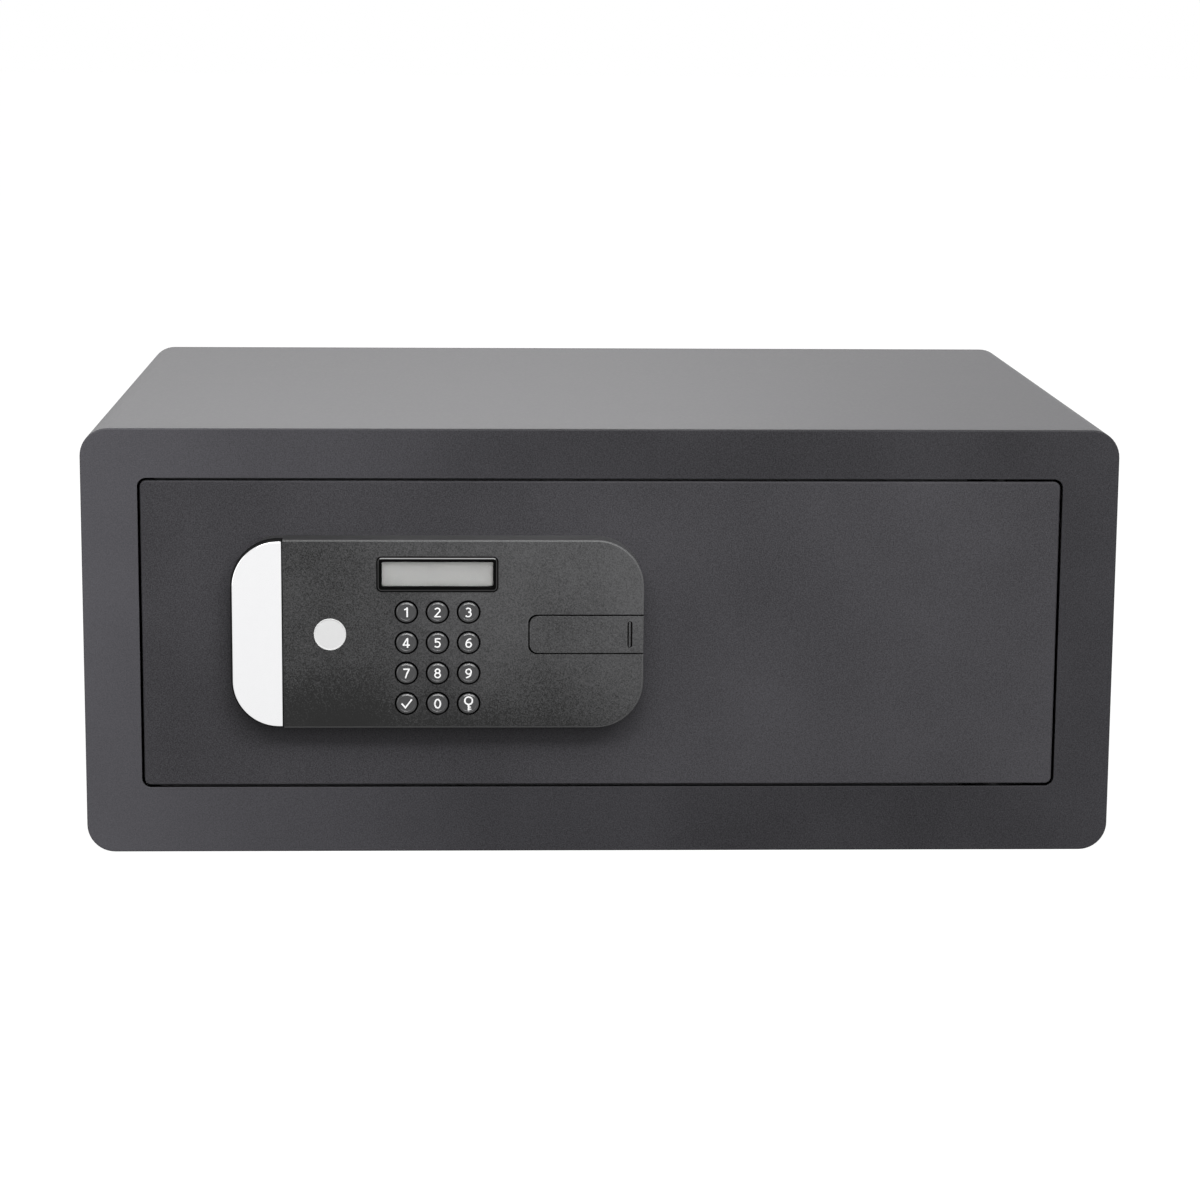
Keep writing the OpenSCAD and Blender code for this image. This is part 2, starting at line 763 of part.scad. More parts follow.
module drive_pinion() {
    color("#b08d57") door_front() translate([pinion_u, 0, -gear_front - gear_face]) {
        spur_gear(gear_face);
        translate([0, 0, -gear_hub_t]) cylinder(r = shaft_r + gear_hub_wall, h = gear_hub_t);
        translate([0, 0, gear_face - 0.01]) cylinder(r = shaft_r, h = shaft_len);
    }
}

// Override lock

module lock_cylinder() {
    color("#9a9ca0") panel_front() translate([lock_x, 0, 0]) difference() {
        union() {
            translate([0, 0, -lock_tail]) cylinder(r = lock_r, h = base_t + lock_tail);
            translate([0, 0, base_t]) cylinder(r = lock_flange_r, h = lock_flange_t);
        }
        translate([0, 0, -lock_tail - 1])
            cylinder(r = plug_r + run, h = base_t + lock_tail + lock_flange_t + 2);
    }
}

module cylinder_nut() {
    color("#a9abae") panel_front() translate([lock_x, 0, -door_t - lock_nut_t]) difference() {
        cylinder(r = lock_nut_r, h = lock_nut_t, $fn = 6);
        translate([0, 0, -1]) cylinder(r = lock_r + fit, h = lock_nut_t + 2);
    }
}

module override_plug() {
    front = base_t + lock_flange_t;
    color("#b7a26a") panel_front() translate([lock_x, 0, 0]) difference() {
        union() {
            translate([0, 0, -lock_tail - plug_over])
                cylinder(r = plug_r, h = front + lock_tail + plug_over);
            translate([-tail_w / 2, -tail_w / 2, -gear_front - gear_face - tail_end])
                cube([tail_w, tail_w, gear_face + 2 * tail_end]);
        }
        block([-keyway_w / 2, -keyway_h / 2, front - keyway_deep], [keyway_w / 2, keyway_h / 2, front + 1]);
    }
}

module override_gear() {
    color("#b08d57") panel_front() translate([lock_x, 0, -gear_front - gear_face]) difference() {
        spur_gear(gear_face);
        translate([-tail_w / 2 - seat, -tail_w / 2 - seat, -1])
            cube([tail_w + 2 * seat, tail_w + 2 * seat, gear_face + 2]);
    }
}

// Keypad panel

module panel_outline(t, inset, e = 0) {
    slab(panel_w - 2 * inset, panel_h - 2 * inset, t, panel_r - inset, e);
}

module panel_base() {
    color("#39393b") panel_front() difference() {
        union() {
            panel_outline(base_t, 0);
            for (p = board_posts_at) translate([p[0], p[1], 0]) cylinder(r = board_post_r, h = board_back);
        }
        translate([-panel_w, -panel_h, -1]) cube([panel_w + grip_u, 2 * panel_h, base_t + 2]);
        translate([lock_x, 0, -1]) cylinder(r = lock_r + seat, h = base_t + 2);
        translate([0, cable_v, -1]) cylinder(r = cable_r, h = base_t + 2);
        for (p = panel_screws_at) translate([p[0], p[1], -1]) cylinder(r = screw_r + run, h = base_t + 2);
    }
}

// The pocket under the key cover, open at the panel's right end, with a groove for the rails.
module key_pocket(extra) {
    half = cover_h / 2 + extra;
    far = panel_w / 2 + 1;
    block([cover_l - extra + cover_r, -half, 0], [far, half, panel_d + 1]);
    block([cover_l - extra, -half + cover_r, 0], [far, half - cover_r, panel_d + 1]);
    for (s = [-1, 1]) translate([cover_l - extra + cover_r, s * (half - cover_r), 0])
        cylinder(r = cover_r, h = panel_d + 1);
}

module key_places() {
    for (row = [0:3], column = [-1:1])
        translate([column * key_pitch, key_top - row * key_pitch, 0]) children();
}

module panel_housing() {
    tongue_inset = cap_skin + cap_play;
    left_wall = cap_right + panel_wall;
    color("#3c3c3e") panel_front() difference() {
        union() {
            difference() {
                translate([0, 0, base_t]) panel_outline(panel_d - base_t, 0, panel_edge);
                block([-panel_w, -panel_h, 0], [cap_right, panel_h, panel_d + 1]);
            }
            difference() {
                translate([0, 0, base_t]) panel_outline(grip_gap - base_t, 0);
                block([-panel_w, -panel_h, 0], [grip_u, panel_h, panel_d]);
            }
            translate([0, 0, grip_gap - 1])
                difference() {
                    panel_outline(panel_d - tongue_inset - grip_gap + 1, tongue_inset);
                    block([-panel_w, -panel_h, -1], [grip_u, panel_h, 1]);
                }
        }
        difference() {
            translate([0, 0, base_t - 1]) panel_outline(face_w - base_t + 1, panel_wall);
            block([-panel_w, -panel_h, 0], [left_wall, panel_h, panel_d]);
            block([cover_l - slack - pocket_wall, -cover_h / 2 - slack - pocket_wall - rail_out, 0],
                  [panel_w, cover_h / 2 + slack + pocket_wall + rail_out, panel_d]);
            for (p = panel_screws_at) translate([p[0], p[1], 0]) cylinder(r = boss_r, h = panel_d);
        }
        translate([0, 0, base_t - 1]) key_pocket(slack);
        block([cover_l + cover_r, -cover_h / 2 - rail_out - slack - seat, rail_w - seat],
              [panel_w, cover_h / 2 + rail_out + slack + seat, rail_w + rail_t + seat]);
        key_places() cylinder(r = key_r + key_gap, h = panel_d + 1);
        translate([0, display_v, base_t])
            slab(window_w + 2 * seat, window_h + 2 * seat, panel_d, window_r);
        translate([0, display_v, module_front])
            slab(window_w + lens_lip_u + 4 * seat, window_h + lens_lip_v + 4 * seat, panel_d, lens_r);
        translate([-inlay_u, 0, panel_d - inlay_depth]) cylinder(r = inlay_r + seat, h = inlay_depth + 1);
        for (p = panel_screws_at) translate([p[0], p[1], 0])
            cylinder(r = screw_r + run, h = base_t + screw_bite + screw_spare);
    }
}

module grip_cap() {
    color("#dcdcde") panel_front() difference() {
        translate([0, 0, grip_gap]) panel_outline(panel_d - grip_gap, 0, cap_edge);
        block([cap_right - cap_gap, -panel_h, 0], [panel_w, panel_h, panel_d + 1]);
        translate([0, 0, grip_gap - 1]) panel_outline(panel_d - grip_gap + 1 - cap_skin, cap_skin);
    }
}

module round_inlay() {
    color("#c4c4c5") panel_front() translate([-inlay_u, 0, panel_d - inlay_depth]) {
        cylinder(r = inlay_r, h = inlay_depth);
        translate([0, 0, inlay_depth]) cylinder(r1 = inlay_r, r2 = inlay_r - inlay_proud, h = inlay_proud);
    }
}

module display_rim() {
    color("#121213") panel_front() translate([0, display_v, 0]) difference() {
        union() {
            translate([0, 0, panel_d])
                slab(window_w + 2 * rim_w, window_h + 2 * rim_w, rim_proud, rim_r, rim_edge);
            translate([0, 0, lens_front])
                slab(window_w + lens_lip_u, window_h + lens_lip_v, panel_d - lens_front, lens_r);
        }
        slab(window_w, window_h, panel_d + 2, window_r);
    }
}

module display_lens() {
    color("#c9cdd0", 0.35) panel_front() translate([0, display_v, lens_front - lens_t])
        slab(window_w + lens_lip_u, window_h + lens_lip_v, lens_t, lens_r);
}

module display_module() {
    color("#a8aaa8") panel_front() translate([0, display_v, board_front])
        slab(window_w, window_h, module_front - board_front, module_r);
}

module control_board() {
    color("#1f5a3a") panel_front() difference() {
        block([board_l, -board_v, board_back], [board_r, board_v, board_front]);
        for (u = [board_l, board_r], v = [-board_v, board_v]) translate([u, v, board_back - 1])
            cylinder(r = board_notch_r, h = board_t + 2);
    }
}

module key_mat() {
    low = key_top - 3 * key_pitch - mat_edge_v;
    color("#8d8f91") panel_front() {
        block([-key_pitch - mat_edge_u, low, board_front],
              [key_pitch + mat_edge_u, key_top + mat_edge_v, board_front + mat_sheet]);
        key_places() translate([0, 0, board_front + mat_sheet - 0.01])
            cylinder(r1 = dome_r, r2 = stem_r, h = dome_h + 0.01);
    }
}

module panel_screws() {
    color("#a9abae") panel_front() for (p = panel_screws_at) translate([p[0], p[1], 0]) {
        translate([0, 0, -door_t - screw_head_t]) cylinder(r = screw_head_r, h = screw_head_t);
        translate([0, 0, -door_t]) cylinder(r = screw_r, h = door_t + base_t + screw_bite);
    }
}

module cable_grommet() {
    tail = door_t + grommet_lip_t;
    color("#1b1b1c") panel_front() translate([0, cable_v, 0]) difference() {
        union() {
            translate([0, 0, -door_t]) cylinder(r = cable_r - seat, h = door_t + base_t);
            translate([0, 0, -tail]) cylinder(r = cable_r + grommet_lip_w, h = grommet_lip_t);
        }
        translate([0, 0, -tail - 1]) cylinder(r = cable_r - grommet_wall, h = tail + base_t + 2);
    }
}

// A lead swept along its route, with a curve of bend_r at each corner.
function unit(v) = v / norm(v);
function corner(a, b, c) =
    [for (t = [0:0.25:1]) b + bend_r * (t * t * unit(c - b) - (1 - t) * (1 - t) * unit(b - a))];
function rounded(route) = concat(
    [route[0]],
    [for (i = [1:len(route) - 2]) each corner(route[i - 1], route[i], route[i + 1])],
    [route[len(route) - 1]]
);
function tangent(path, i) = unit(path[min(i + 1, len(path) - 1)] - path[max(i - 1, 0)]);
function side_ways(path, i, last) = i == len(path) ? [] :
    let (t = tangent(path, i), n = unit(last - (last * t) * t)) concat([n], side_ways(path, i + 1, n));

module lead(route) {
    path = rounded(route);
    normals = side_ways(path, 0, [1, 0, 0]);
    rings = len(path);
    polyhedron(
        [for (i = [0:rings - 1]) let (n = normals[i], b = cross(tangent(path, i), n))
            for (k = [0:lead_sides - 1]) path[i] + lead_r * (cos(360 * k / lead_sides) * n
                + sin(360 * k / lead_sides) * b)],
        concat(
            [[for (k = [0:lead_sides - 1]) k]],
            [for (i = [0:rings - 2], k = [0:lead_sides - 1]) let (m = (k + 1) % lead_sides)
                [i * lead_sides + k, (i + 1) * lead_sides + k, (i + 1) * lead_sides + m, i * lead_sides + m]],
            [[for (k = [lead_sides - 1:-1:0]) (rings - 1) * lead_sides + k]]
        )
    );
}

// One lead runs from the circuit board to the batteries, and the other to the motor.
module wiring_loom() {
    v = panel_rise + cable_v;
    start_l = panel_u - lead_gap / 2;
    start_r = panel_u + lead_gap / 2;
    turn = holder_side - lead_turn;
    drop = v - lead_drop;
    motor_u = pinion_u + gearbox_w / 2 + lead_on_motor;
    color("#a5352c") door_front() {
        lead([[start_l, v, board_back], [start_l, v, -lead_depth], [turn, v, -lead_depth],
              [turn, v, -lead_end], [turn, drop, -lead_end], [holder_side, drop, -lead_end]]);
        lead([[start_r, v, board_back], [start_r, v, -motor_back], [motor_u, v, -motor_back],
              [motor_u, motor_r, -motor_back]]);
    }
}

// Keys. The steps of a key's crown go in from its side and down from its top.

module push_key(row, column) {
    top = panel_d + key_proud;
    color("#2f2f31") panel_front()
        translate([column * key_pitch, key_top - row * key_pitch, 0]) rotate_extrude()
            polygon(concat(
                [[0, stem_end], [stem_r, stem_end], [stem_r, face_w - key_flange_t],
                 [key_flange_r, face_w - key_flange_t], [key_flange_r, face_w], [key_r, face_w]],
                [for (step = key_crown) [key_r - step[0], top - step[1]]],
                [[0, top - key_dish]]
            ));
}

// Key cover

module key_cover() {
    far = panel_w / 2;
    end = far - cover_side;
    half = cover_h / 2;
    skin_low = panel_d - cover_t;
    color("#3c3c3e") panel_front() difference() {
        union() {
            intersection() {
                translate([0, 0, skin_low]) cover_blank();
                block([cover_l, -cover_h, skin_low], [far, cover_h, panel_d]);
            }
            block([rail_start, -half - rail_out, rail_w], [end, half + rail_out, rail_w + rail_t]);
            block([rail_start, 2 * seat - half, rail_w], [end, half - 2 * seat, skin_low + 0.01]);
            block([end, -half, base_t + seat], [far, half, panel_d - cover_end_drop]);
        }
        block([cover_l + cover_r, cover_side - half, 0], [end, half - cover_side, skin_low]);
        translate([far - finger_slot_in, 0, panel_d - finger_slot_d]) rotate([0, 0, 90])
            long_hole(finger_slot_l - finger_slot_w, finger_slot_w / 2, 2);
    }
}

module cover_blank() {
    half = cover_h / 2;
    far = panel_w / 2;
    block([cover_l + cover_r, -half, 0], [far, half, cover_t]);
    block([cover_l, -half + cover_r, 0], [far, half - cover_r, cover_t]);
    for (s = [-1, 1]) translate([cover_l + cover_r, s * (half - cover_r), 0])
        cylinder(r = cover_r, h = cover_t);
}

// Door cover, batteries and reset button

module door_cover() {
    color("#3f3e42") door_front() difference() {
        translate([tray_u, 0, -tray_back]) slab(tray_w, tray_h, tray_d, tray_corner);
        translate([tray_u, 0, -tray_inner])
            slab(tray_w - 2 * tray_t, tray_h - 2 * tray_t, tray_d, tray_corner - tray_t);
        for (v = [-1, 1]) translate([tray_l - 1, v * bolt_pitch / 2, -bolt_back])
            rotate([0, 90, 0]) cylinder(r = bolt_r + bolt_window, h = tray_t + 2);
        translate([0, 0, -tray_back - 1]) {
            translate([holder_u, 0, 0])
                slab(holder_w + 2 * seat, holder_h + 2 * seat, tray_t + 2, holder_corner);
            translate([button_u, button_v, 0]) cylinder(r = button_r + slack, h = tray_t + 2);
            for (p = standoffs_at) translate([p[0], p[1], 0]) cylinder(r = screw_r + run, h = tray_t + 2);
        }
    }
}

module cover_standoffs() {
    color("#a9abae") door_front() for (p = standoffs_at) translate([p[0], p[1], -tray_inner]) difference() {
        cylinder(r = standoff_r, h = tray_inner - door_t);
        translate([0, 0, -1]) cylinder(r = screw_r + run, h = cover_screw_len + 1);
    }
}

module cover_screws() {
    color("#1f1f21") door_front() for (p = standoffs_at) translate([p[0], p[1], -tray_back]) {
        cylinder(r = screw_r, h = cover_screw_len);
        translate([0, 0, -screw_head_t]) cylinder(r = screw_head_r, h = screw_head_t);
    }
}

module battery_holder() {
    color("#262628") door_front() translate([holder_u, 0, 0]) difference() {
        union() {
            translate([0, 0, -holder_back])
                slab(holder_w, holder_h, holder_back - well_floor + holder_wall, holder_corner);
            translate([0, 0, -holder_back])
                slab(holder_w + 2 * holder_flange, holder_h + 2 * holder_flange, holder_flange_t,
                     holder_flange_r);
        }
        block([-well_w / 2, -well_h / 2, -holder_back - 1], [well_w / 2, well_h / 2, -well_floor]);
        block([-well_w / 2 - rebate, -well_h / 2 - rebate, -holder_back - 1],
              [well_w / 2 + rebate, well_h / 2 + rebate, -lid_floor]);
    }
}

// The places of the cells, each turned the other way round from the one before it.
module cell_places() {
    for (i = [0:cell_count - 1])
        translate([holder_u + (i - (cell_count - 1) / 2) * cell_step, 0, -well_floor - seat - cell_r])
            mirror([0, i % 2, 0]) children();
}

// Spring contacts under the flat ends and plate contacts over the nubs.
module battery_contacts() {
    spring_h = well_h - cell_len - 2 * contact_t - 2 * seat;
    color("#c3c5c8") door_front() cell_places() {
        block([-contact_w, -well_h / 2, -contact_w], [contact_w, contact_t - well_h / 2, contact_w]);
        block([-contact_w, well_h / 2 - contact_t, -contact_w], [contact_w, well_h / 2, contact_w]);
        translate([0, contact_t - well_h / 2 - 0.01, 0]) rotate([-90, 0, 0])
            cylinder(r1 = spring_foot_r, r2 = spring_tip_r, h = spring_h);
    }
}

module batteries() {
    body_len = cell_len - nub_h;
    start = well_h / 2 - contact_t - seat - cell_len;
    color("#b87333") door_front() cell_places() translate([0, start, 0]) rotate([-90, 0, 0]) {
        cylinder(r = cell_r, h = body_len);
        translate([0, 0, body_len]) cylinder(r = nub_r, h = nub_h);
    }
}

module battery_cover() {
    lid_h = well_h + 2 * rebate - 2 * lid_play;
    color("#2b2b2d") door_front() translate([holder_u, 0, -holder_back]) difference() {
        slab(well_w + 2 * rebate - 2 * lid_play, lid_h, lid_t, holder_corner);
        translate([0, lid_h / 2 - lid_grip_h - lid_grip_in, -lid_grip_d])
            slab(lid_grip_w, lid_grip_h, 2 * lid_grip_d, lid_grip_r);
        for (k = [0:lid_rib_count - 1])
            translate([0, -lid_rib_first - lid_rib_step * k, -lid_rib_d])
                long_hole(lid_rib_l, lid_rib_r, 2 * lid_rib_d);
    }
}

module reset_switch() {
    recess = button_collar + button_tail + button_travel + switch_spare;
    color("#1b1b1c") door_front() translate([button_u, button_v, -tray_inner]) difference() {
        union() {
            cylinder(r = switch_r, h = switch_d);
            block([-switch_foot_w, -switch_foot_h, 0], [switch_foot_w, switch_foot_h, switch_foot_t]);
        }
        translate([0, 0, -1]) cylinder(r = button_r + button_lip + slack, h = recess + 1);
    }
}

module reset_button() {
    collar = button_proud + tray_t;
    color("#b3282d") door_front() translate([button_u, button_v, -tray_back - button_proud]) {
        cylinder(r1 = button_r - button_bevel, r2 = button_r, h = button_bevel);
        translate([0, 0, button_bevel]) cylinder(r = button_r, h = collar - button_bevel);
        translate([0, 0, collar]) cylinder(r = button_r + button_lip, h = button_collar);
        translate([0, 0, collar + button_collar]) cylinder(r = button_tail_r, h = button_tail);
    }
}

body_wrap();
front_frame();
back_panel();
floor_mat();
striker_bar();
door_stop(1);  // door_stop_upper
door_stop(-1);  // door_stop_lower
hinge_lug(1);  // hinge_lug_upper
hinge_lug(-1);  // hinge_lug_lower
hinge_pins();
thrust_washer();
door_plate();
hinge_block(1);  // hinge_block_upper
hinge_block(-1);  // hinge_block_lower
bolt_guide();
guide_posts();
motor_gearbox();
bolt_motor();
drive_pinion();
bolt_carrier();
locking_bolts();
bolt_nuts();
lock_cylinder();
cylinder_nut();
override_plug();
override_gear();
panel_base();
panel_housing();
grip_cap();
round_inlay();
display_rim();
display_lens();
display_module();
control_board();
key_mat();
panel_screws();
cable_grommet();
wiring_loom();
key_cover();
door_cover();
cover_standoffs();
cover_screws();
battery_holder();
battery_contacts();
batteries();
battery_cover();
reset_switch();
reset_button();
push_key(0, -1);  // key_1
push_key(0, 0);  // key_2
push_key(0, 1);  // key_3
push_key(1, -1);  // key_4
push_key(1, 0);  // key_5
push_key(1, 1);  // key_6
push_key(2, -1);  // key_7
push_key(2, 0);  // key_8
push_key(2, 1);  // key_9
push_key(3, -1);  // key_enter
push_key(3, 0);  // key_0
push_key(3, 1);  // key_lock
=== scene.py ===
"""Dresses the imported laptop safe: camera, studio, finishes and the finer form of its pieces."""

import json
import math
import random

import bmesh
import bpy
from mathutils import Matrix, Vector


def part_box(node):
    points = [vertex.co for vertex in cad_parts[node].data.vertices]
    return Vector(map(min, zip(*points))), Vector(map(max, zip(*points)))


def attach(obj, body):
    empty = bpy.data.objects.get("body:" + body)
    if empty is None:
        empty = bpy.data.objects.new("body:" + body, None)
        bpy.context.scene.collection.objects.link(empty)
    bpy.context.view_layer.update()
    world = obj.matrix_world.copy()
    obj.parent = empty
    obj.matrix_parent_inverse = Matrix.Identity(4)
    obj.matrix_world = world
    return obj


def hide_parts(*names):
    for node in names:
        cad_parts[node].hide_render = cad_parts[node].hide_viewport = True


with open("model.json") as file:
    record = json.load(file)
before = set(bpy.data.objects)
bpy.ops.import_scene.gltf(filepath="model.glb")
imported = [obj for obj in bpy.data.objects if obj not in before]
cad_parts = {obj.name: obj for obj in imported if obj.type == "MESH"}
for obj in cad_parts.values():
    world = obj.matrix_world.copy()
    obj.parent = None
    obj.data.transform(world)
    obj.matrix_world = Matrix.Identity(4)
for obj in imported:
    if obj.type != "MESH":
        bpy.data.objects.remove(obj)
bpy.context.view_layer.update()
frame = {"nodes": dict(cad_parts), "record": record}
scene = bpy.context.scene
scene.view_settings.view_transform = "Standard"
MM = 0.001

# Studio: the camera that was fitted to the corners of the safe, and the light round it

PHOTO_SIDE = 1200
FOCAL_PIXELS = 3313.2
SENSOR = 36.0
CAMERA_PLACE = Vector((-0.0596, -1.6878, 0.3992))
CAMERA_YAW = -0.0389
CAMERA_PITCH = 0.1823
CAMERA_ROLL = 0.0074
FARTHEST_SEEN = 60
WORLD_LIGHT = 0.2
FLOOR_REACH = 14.0
FLOOR_TONE = 0.12
FLOOR_ROUGHNESS = 0.9
FLOOR_GLOW = 0.98
MIRRORED_GLOW = 0.84
FOOT_INSET = 0.02
DOOR_MIDDLE = (0, -0.17, 0.1)
PANEL_SIDE = (-0.22, -0.17, 0.1)
TOP_MIDDLE = (0, 0, 0.2)

# Each lamp's place, what it points at, its width and height, all in metres, and its power in watts.
LAMPS = {
    "key_lamp": ((0.1, -1.5, 1.25), DOOR_MIDDLE, (2.2, 0.4), 26),
    "front_lamp": ((0.3, -2.0, 0.8), DOOR_MIDDLE, (1.4, 0.7), 9),
    "left_lamp": ((-0.95, -0.62, 0.3), PANEL_SIDE, (0.3, 0.6), 1),
    "top_lamp": ((0.1, -0.75, 1.25), DOOR_MIDDLE, (1.8, 0.3), 2),
    "glint_lamp": ((0.0, -1.1, 1.3), DOOR_MIDDLE, (0.25, 0.1), 3),
    "rear_lamp": ((-0.6, 1.5, 1.4), TOP_MIDDLE, (2.0, 0.6), 17),
}


def add_camera():
    """The camera of the photograph. Its angles are in radians."""
    data = bpy.data.cameras.new("photo_camera")
    data.sensor_width = SENSOR
    data.lens = FOCAL_PIXELS * SENSOR / PHOTO_SIDE
    data.clip_end = FARTHEST_SEEN
    camera = bpy.data.objects.new("photo_camera", data)
    scene.collection.objects.link(camera)
    across = Vector((math.cos(CAMERA_YAW), math.sin(CAMERA_YAW), 0))
    level = Vector((-math.sin(CAMERA_YAW), math.cos(CAMERA_YAW), 0))
    upright = Vector((0, 0, 1))
    ahead = level * math.cos(CAMERA_PITCH) - upright * math.sin(CAMERA_PITCH)
    above = upright * math.cos(CAMERA_PITCH) + level * math.sin(CAMERA_PITCH)
    right = across * math.cos(CAMERA_ROLL) + above * math.sin(CAMERA_ROLL)
    top = above * math.cos(CAMERA_ROLL) - across * math.sin(CAMERA_ROLL)
    turn = Matrix((right, top, -ahead)).transposed()
    camera.matrix_world = Matrix.Translation(CAMERA_PLACE) @ turn.to_4x4()
    scene.camera = camera


def add_lamp(name, place, target, size, power):
    data = bpy.data.lights.new(name, "AREA")
    data.shape = "RECTANGLE"
    data.size, data.size_y = size
    data.energy = power
    lamp = bpy.data.objects.new(name, data)
    scene.collection.objects.link(lamp)
    lamp.location = place
    lamp.rotation_euler = (Vector(target) - Vector(place)).to_track_quat("-Z", "Y").to_euler()


def maths(tree, operation, *values, kind="ShaderNodeMath", result=0):
    """The result of a maths node on numbers or sockets."""
    node = tree.nodes.new(kind)
    node.operation = operation
    for socket, value in zip(node.inputs, values):
        if isinstance(value, (int, float)):
            socket.default_value = value
        else:
            tree.links.new(value, socket)
    return node.outputs[result]


def looked_at(tree, *kinds):
    """1 for the kinds of ray that look at a surface, such as the camera's own, and 0 for light."""
    path = tree.nodes.new("ShaderNodeLightPath")
    seen = path.outputs[kinds[0]]
    for kind in kinds[1:]:
        seen = maths(tree, "MAXIMUM", seen, path.outputs[kind])
    return seen


def add_world():
    """White where the camera, a mirror or a lens looks at it, and plainer as a source of light."""
    world = bpy.data.worlds.new("studio")
    scene.world = world
    world.use_nodes = True
    tree = world.node_tree
    background = tree.nodes["Background"]
    background.inputs["Color"].default_value = (1, 1, 1, 1)
    level = tree.nodes.new("ShaderNodeMapRange")
    level.inputs["To Min"].default_value = WORLD_LIGHT
    level.inputs["To Max"].default_value = 1.0
    seen = looked_at(tree, "Is Camera Ray", "Is Glossy Ray", "Is Transmission Ray")
    tree.links.new(seen, level.inputs["Value"])
    tree.links.new(level.outputs[0], background.inputs["Strength"])


def add_floor():
    """A pale floor that is white where it is looked at, and keeps the shadow of the safe.

    The piece that the safe stands on is plain and dark: painted shadow under the safe, which shows
    through the anchor holes.
    """
    low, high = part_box("body_wrap")
    columns = (-FLOOR_REACH, low.x + FOOT_INSET, high.x - FOOT_INSET, FLOOR_REACH)
    rows = (-FLOOR_REACH, low.y + FOOT_INSET, high.y - FOOT_INSET, FLOOR_REACH)
    count = len(columns)
    corners = [count * j + i for j in range(count - 1) for i in range(count - 1)]
    mesh = bpy.data.meshes.new("studio_floor")
    mesh.from_pydata([(x, y, 0) for y in rows for x in columns], [],
                     [(k, k + 1, k + count + 1, k + count) for k in corners])
    floor = bpy.data.objects.new("studio_floor", mesh)
    scene.collection.objects.link(floor)
    material = bpy.data.materials.new("studio_floor")
    material.use_nodes = True
    tree = material.node_tree
    shader = tree.nodes["Principled BSDF"]
    shader.inputs["Base Color"].default_value = (FLOOR_TONE, FLOOR_TONE, FLOOR_TONE, 1)
    shader.inputs["Roughness"].default_value = FLOOR_ROUGHNESS
    shader.inputs["Specular IOR Level"].default_value = 0.0
    glow = tree.nodes.new("ShaderNodeEmission")
    glow.inputs["Color"].default_value = (1, 1, 1, 1)
    plain = maths(tree, "MULTIPLY", looked_at(tree, "Is Camera Ray"), FLOOR_GLOW)
    mirrored = looked_at(tree, "Is Glossy Ray", "Is Transmission Ray")
    strength = maths(tree, "MAXIMUM", plain, maths(tree, "MULTIPLY", mirrored, MIRRORED_GLOW))
    tree.links.new(strength, glow.inputs["Strength"])
    both = tree.nodes.new("ShaderNodeAddShader")
    tree.links.new(shader.outputs[0], both.inputs[0])
    tree.links.new(glow.outputs[0], both.inputs[1])
    tree.links.new(both.outputs[0], tree.nodes["Material Output"].inputs["Surface"])
    mesh.materials.append(material)
    # The dark moulding finish, as painted shadow on the piece under the safe.
    mesh.materials.append(BLACK_MOULDING_AND_PAINTED_SHADOW)
    under_the_safe = len(corners) // 2
    mesh.polygons[under_the_safe].material_index = 1


# Finishes: what several of them share is a node group with named inputs

def new_group(name, inputs, outputs, kind="ShaderNodeTree"):
    tree = bpy.data.node_groups.new(name, kind)
    for label, socket_kind, value in inputs:
        socket = tree.interface.new_socket(label, in_out="INPUT", socket_type=socket_kind)
        if value is not None:
            socket.default_value = value
    for label, socket_kind in outputs:
        tree.interface.new_socket(label, in_out="OUTPUT", socket_type=socket_kind)
    return tree, tree.nodes.new("NodeGroupInput"), tree.nodes.new("NodeGroupOutput")


VECTOR_MATHS = "ShaderNodeVectorMath"
GRAIN_DETAIL = 2.0
CLOUD_DETAIL = 3.0
GRAIN_PLACES = ("Vector", "Place", "Tone Run", "Tone Bow", "Middle")
GRAIN_VALUES = ("Grain Size", "Cloud Size", "Cloud Share", "Tone", "Tone Spread", "Roughness",
                "Roughness Spread")


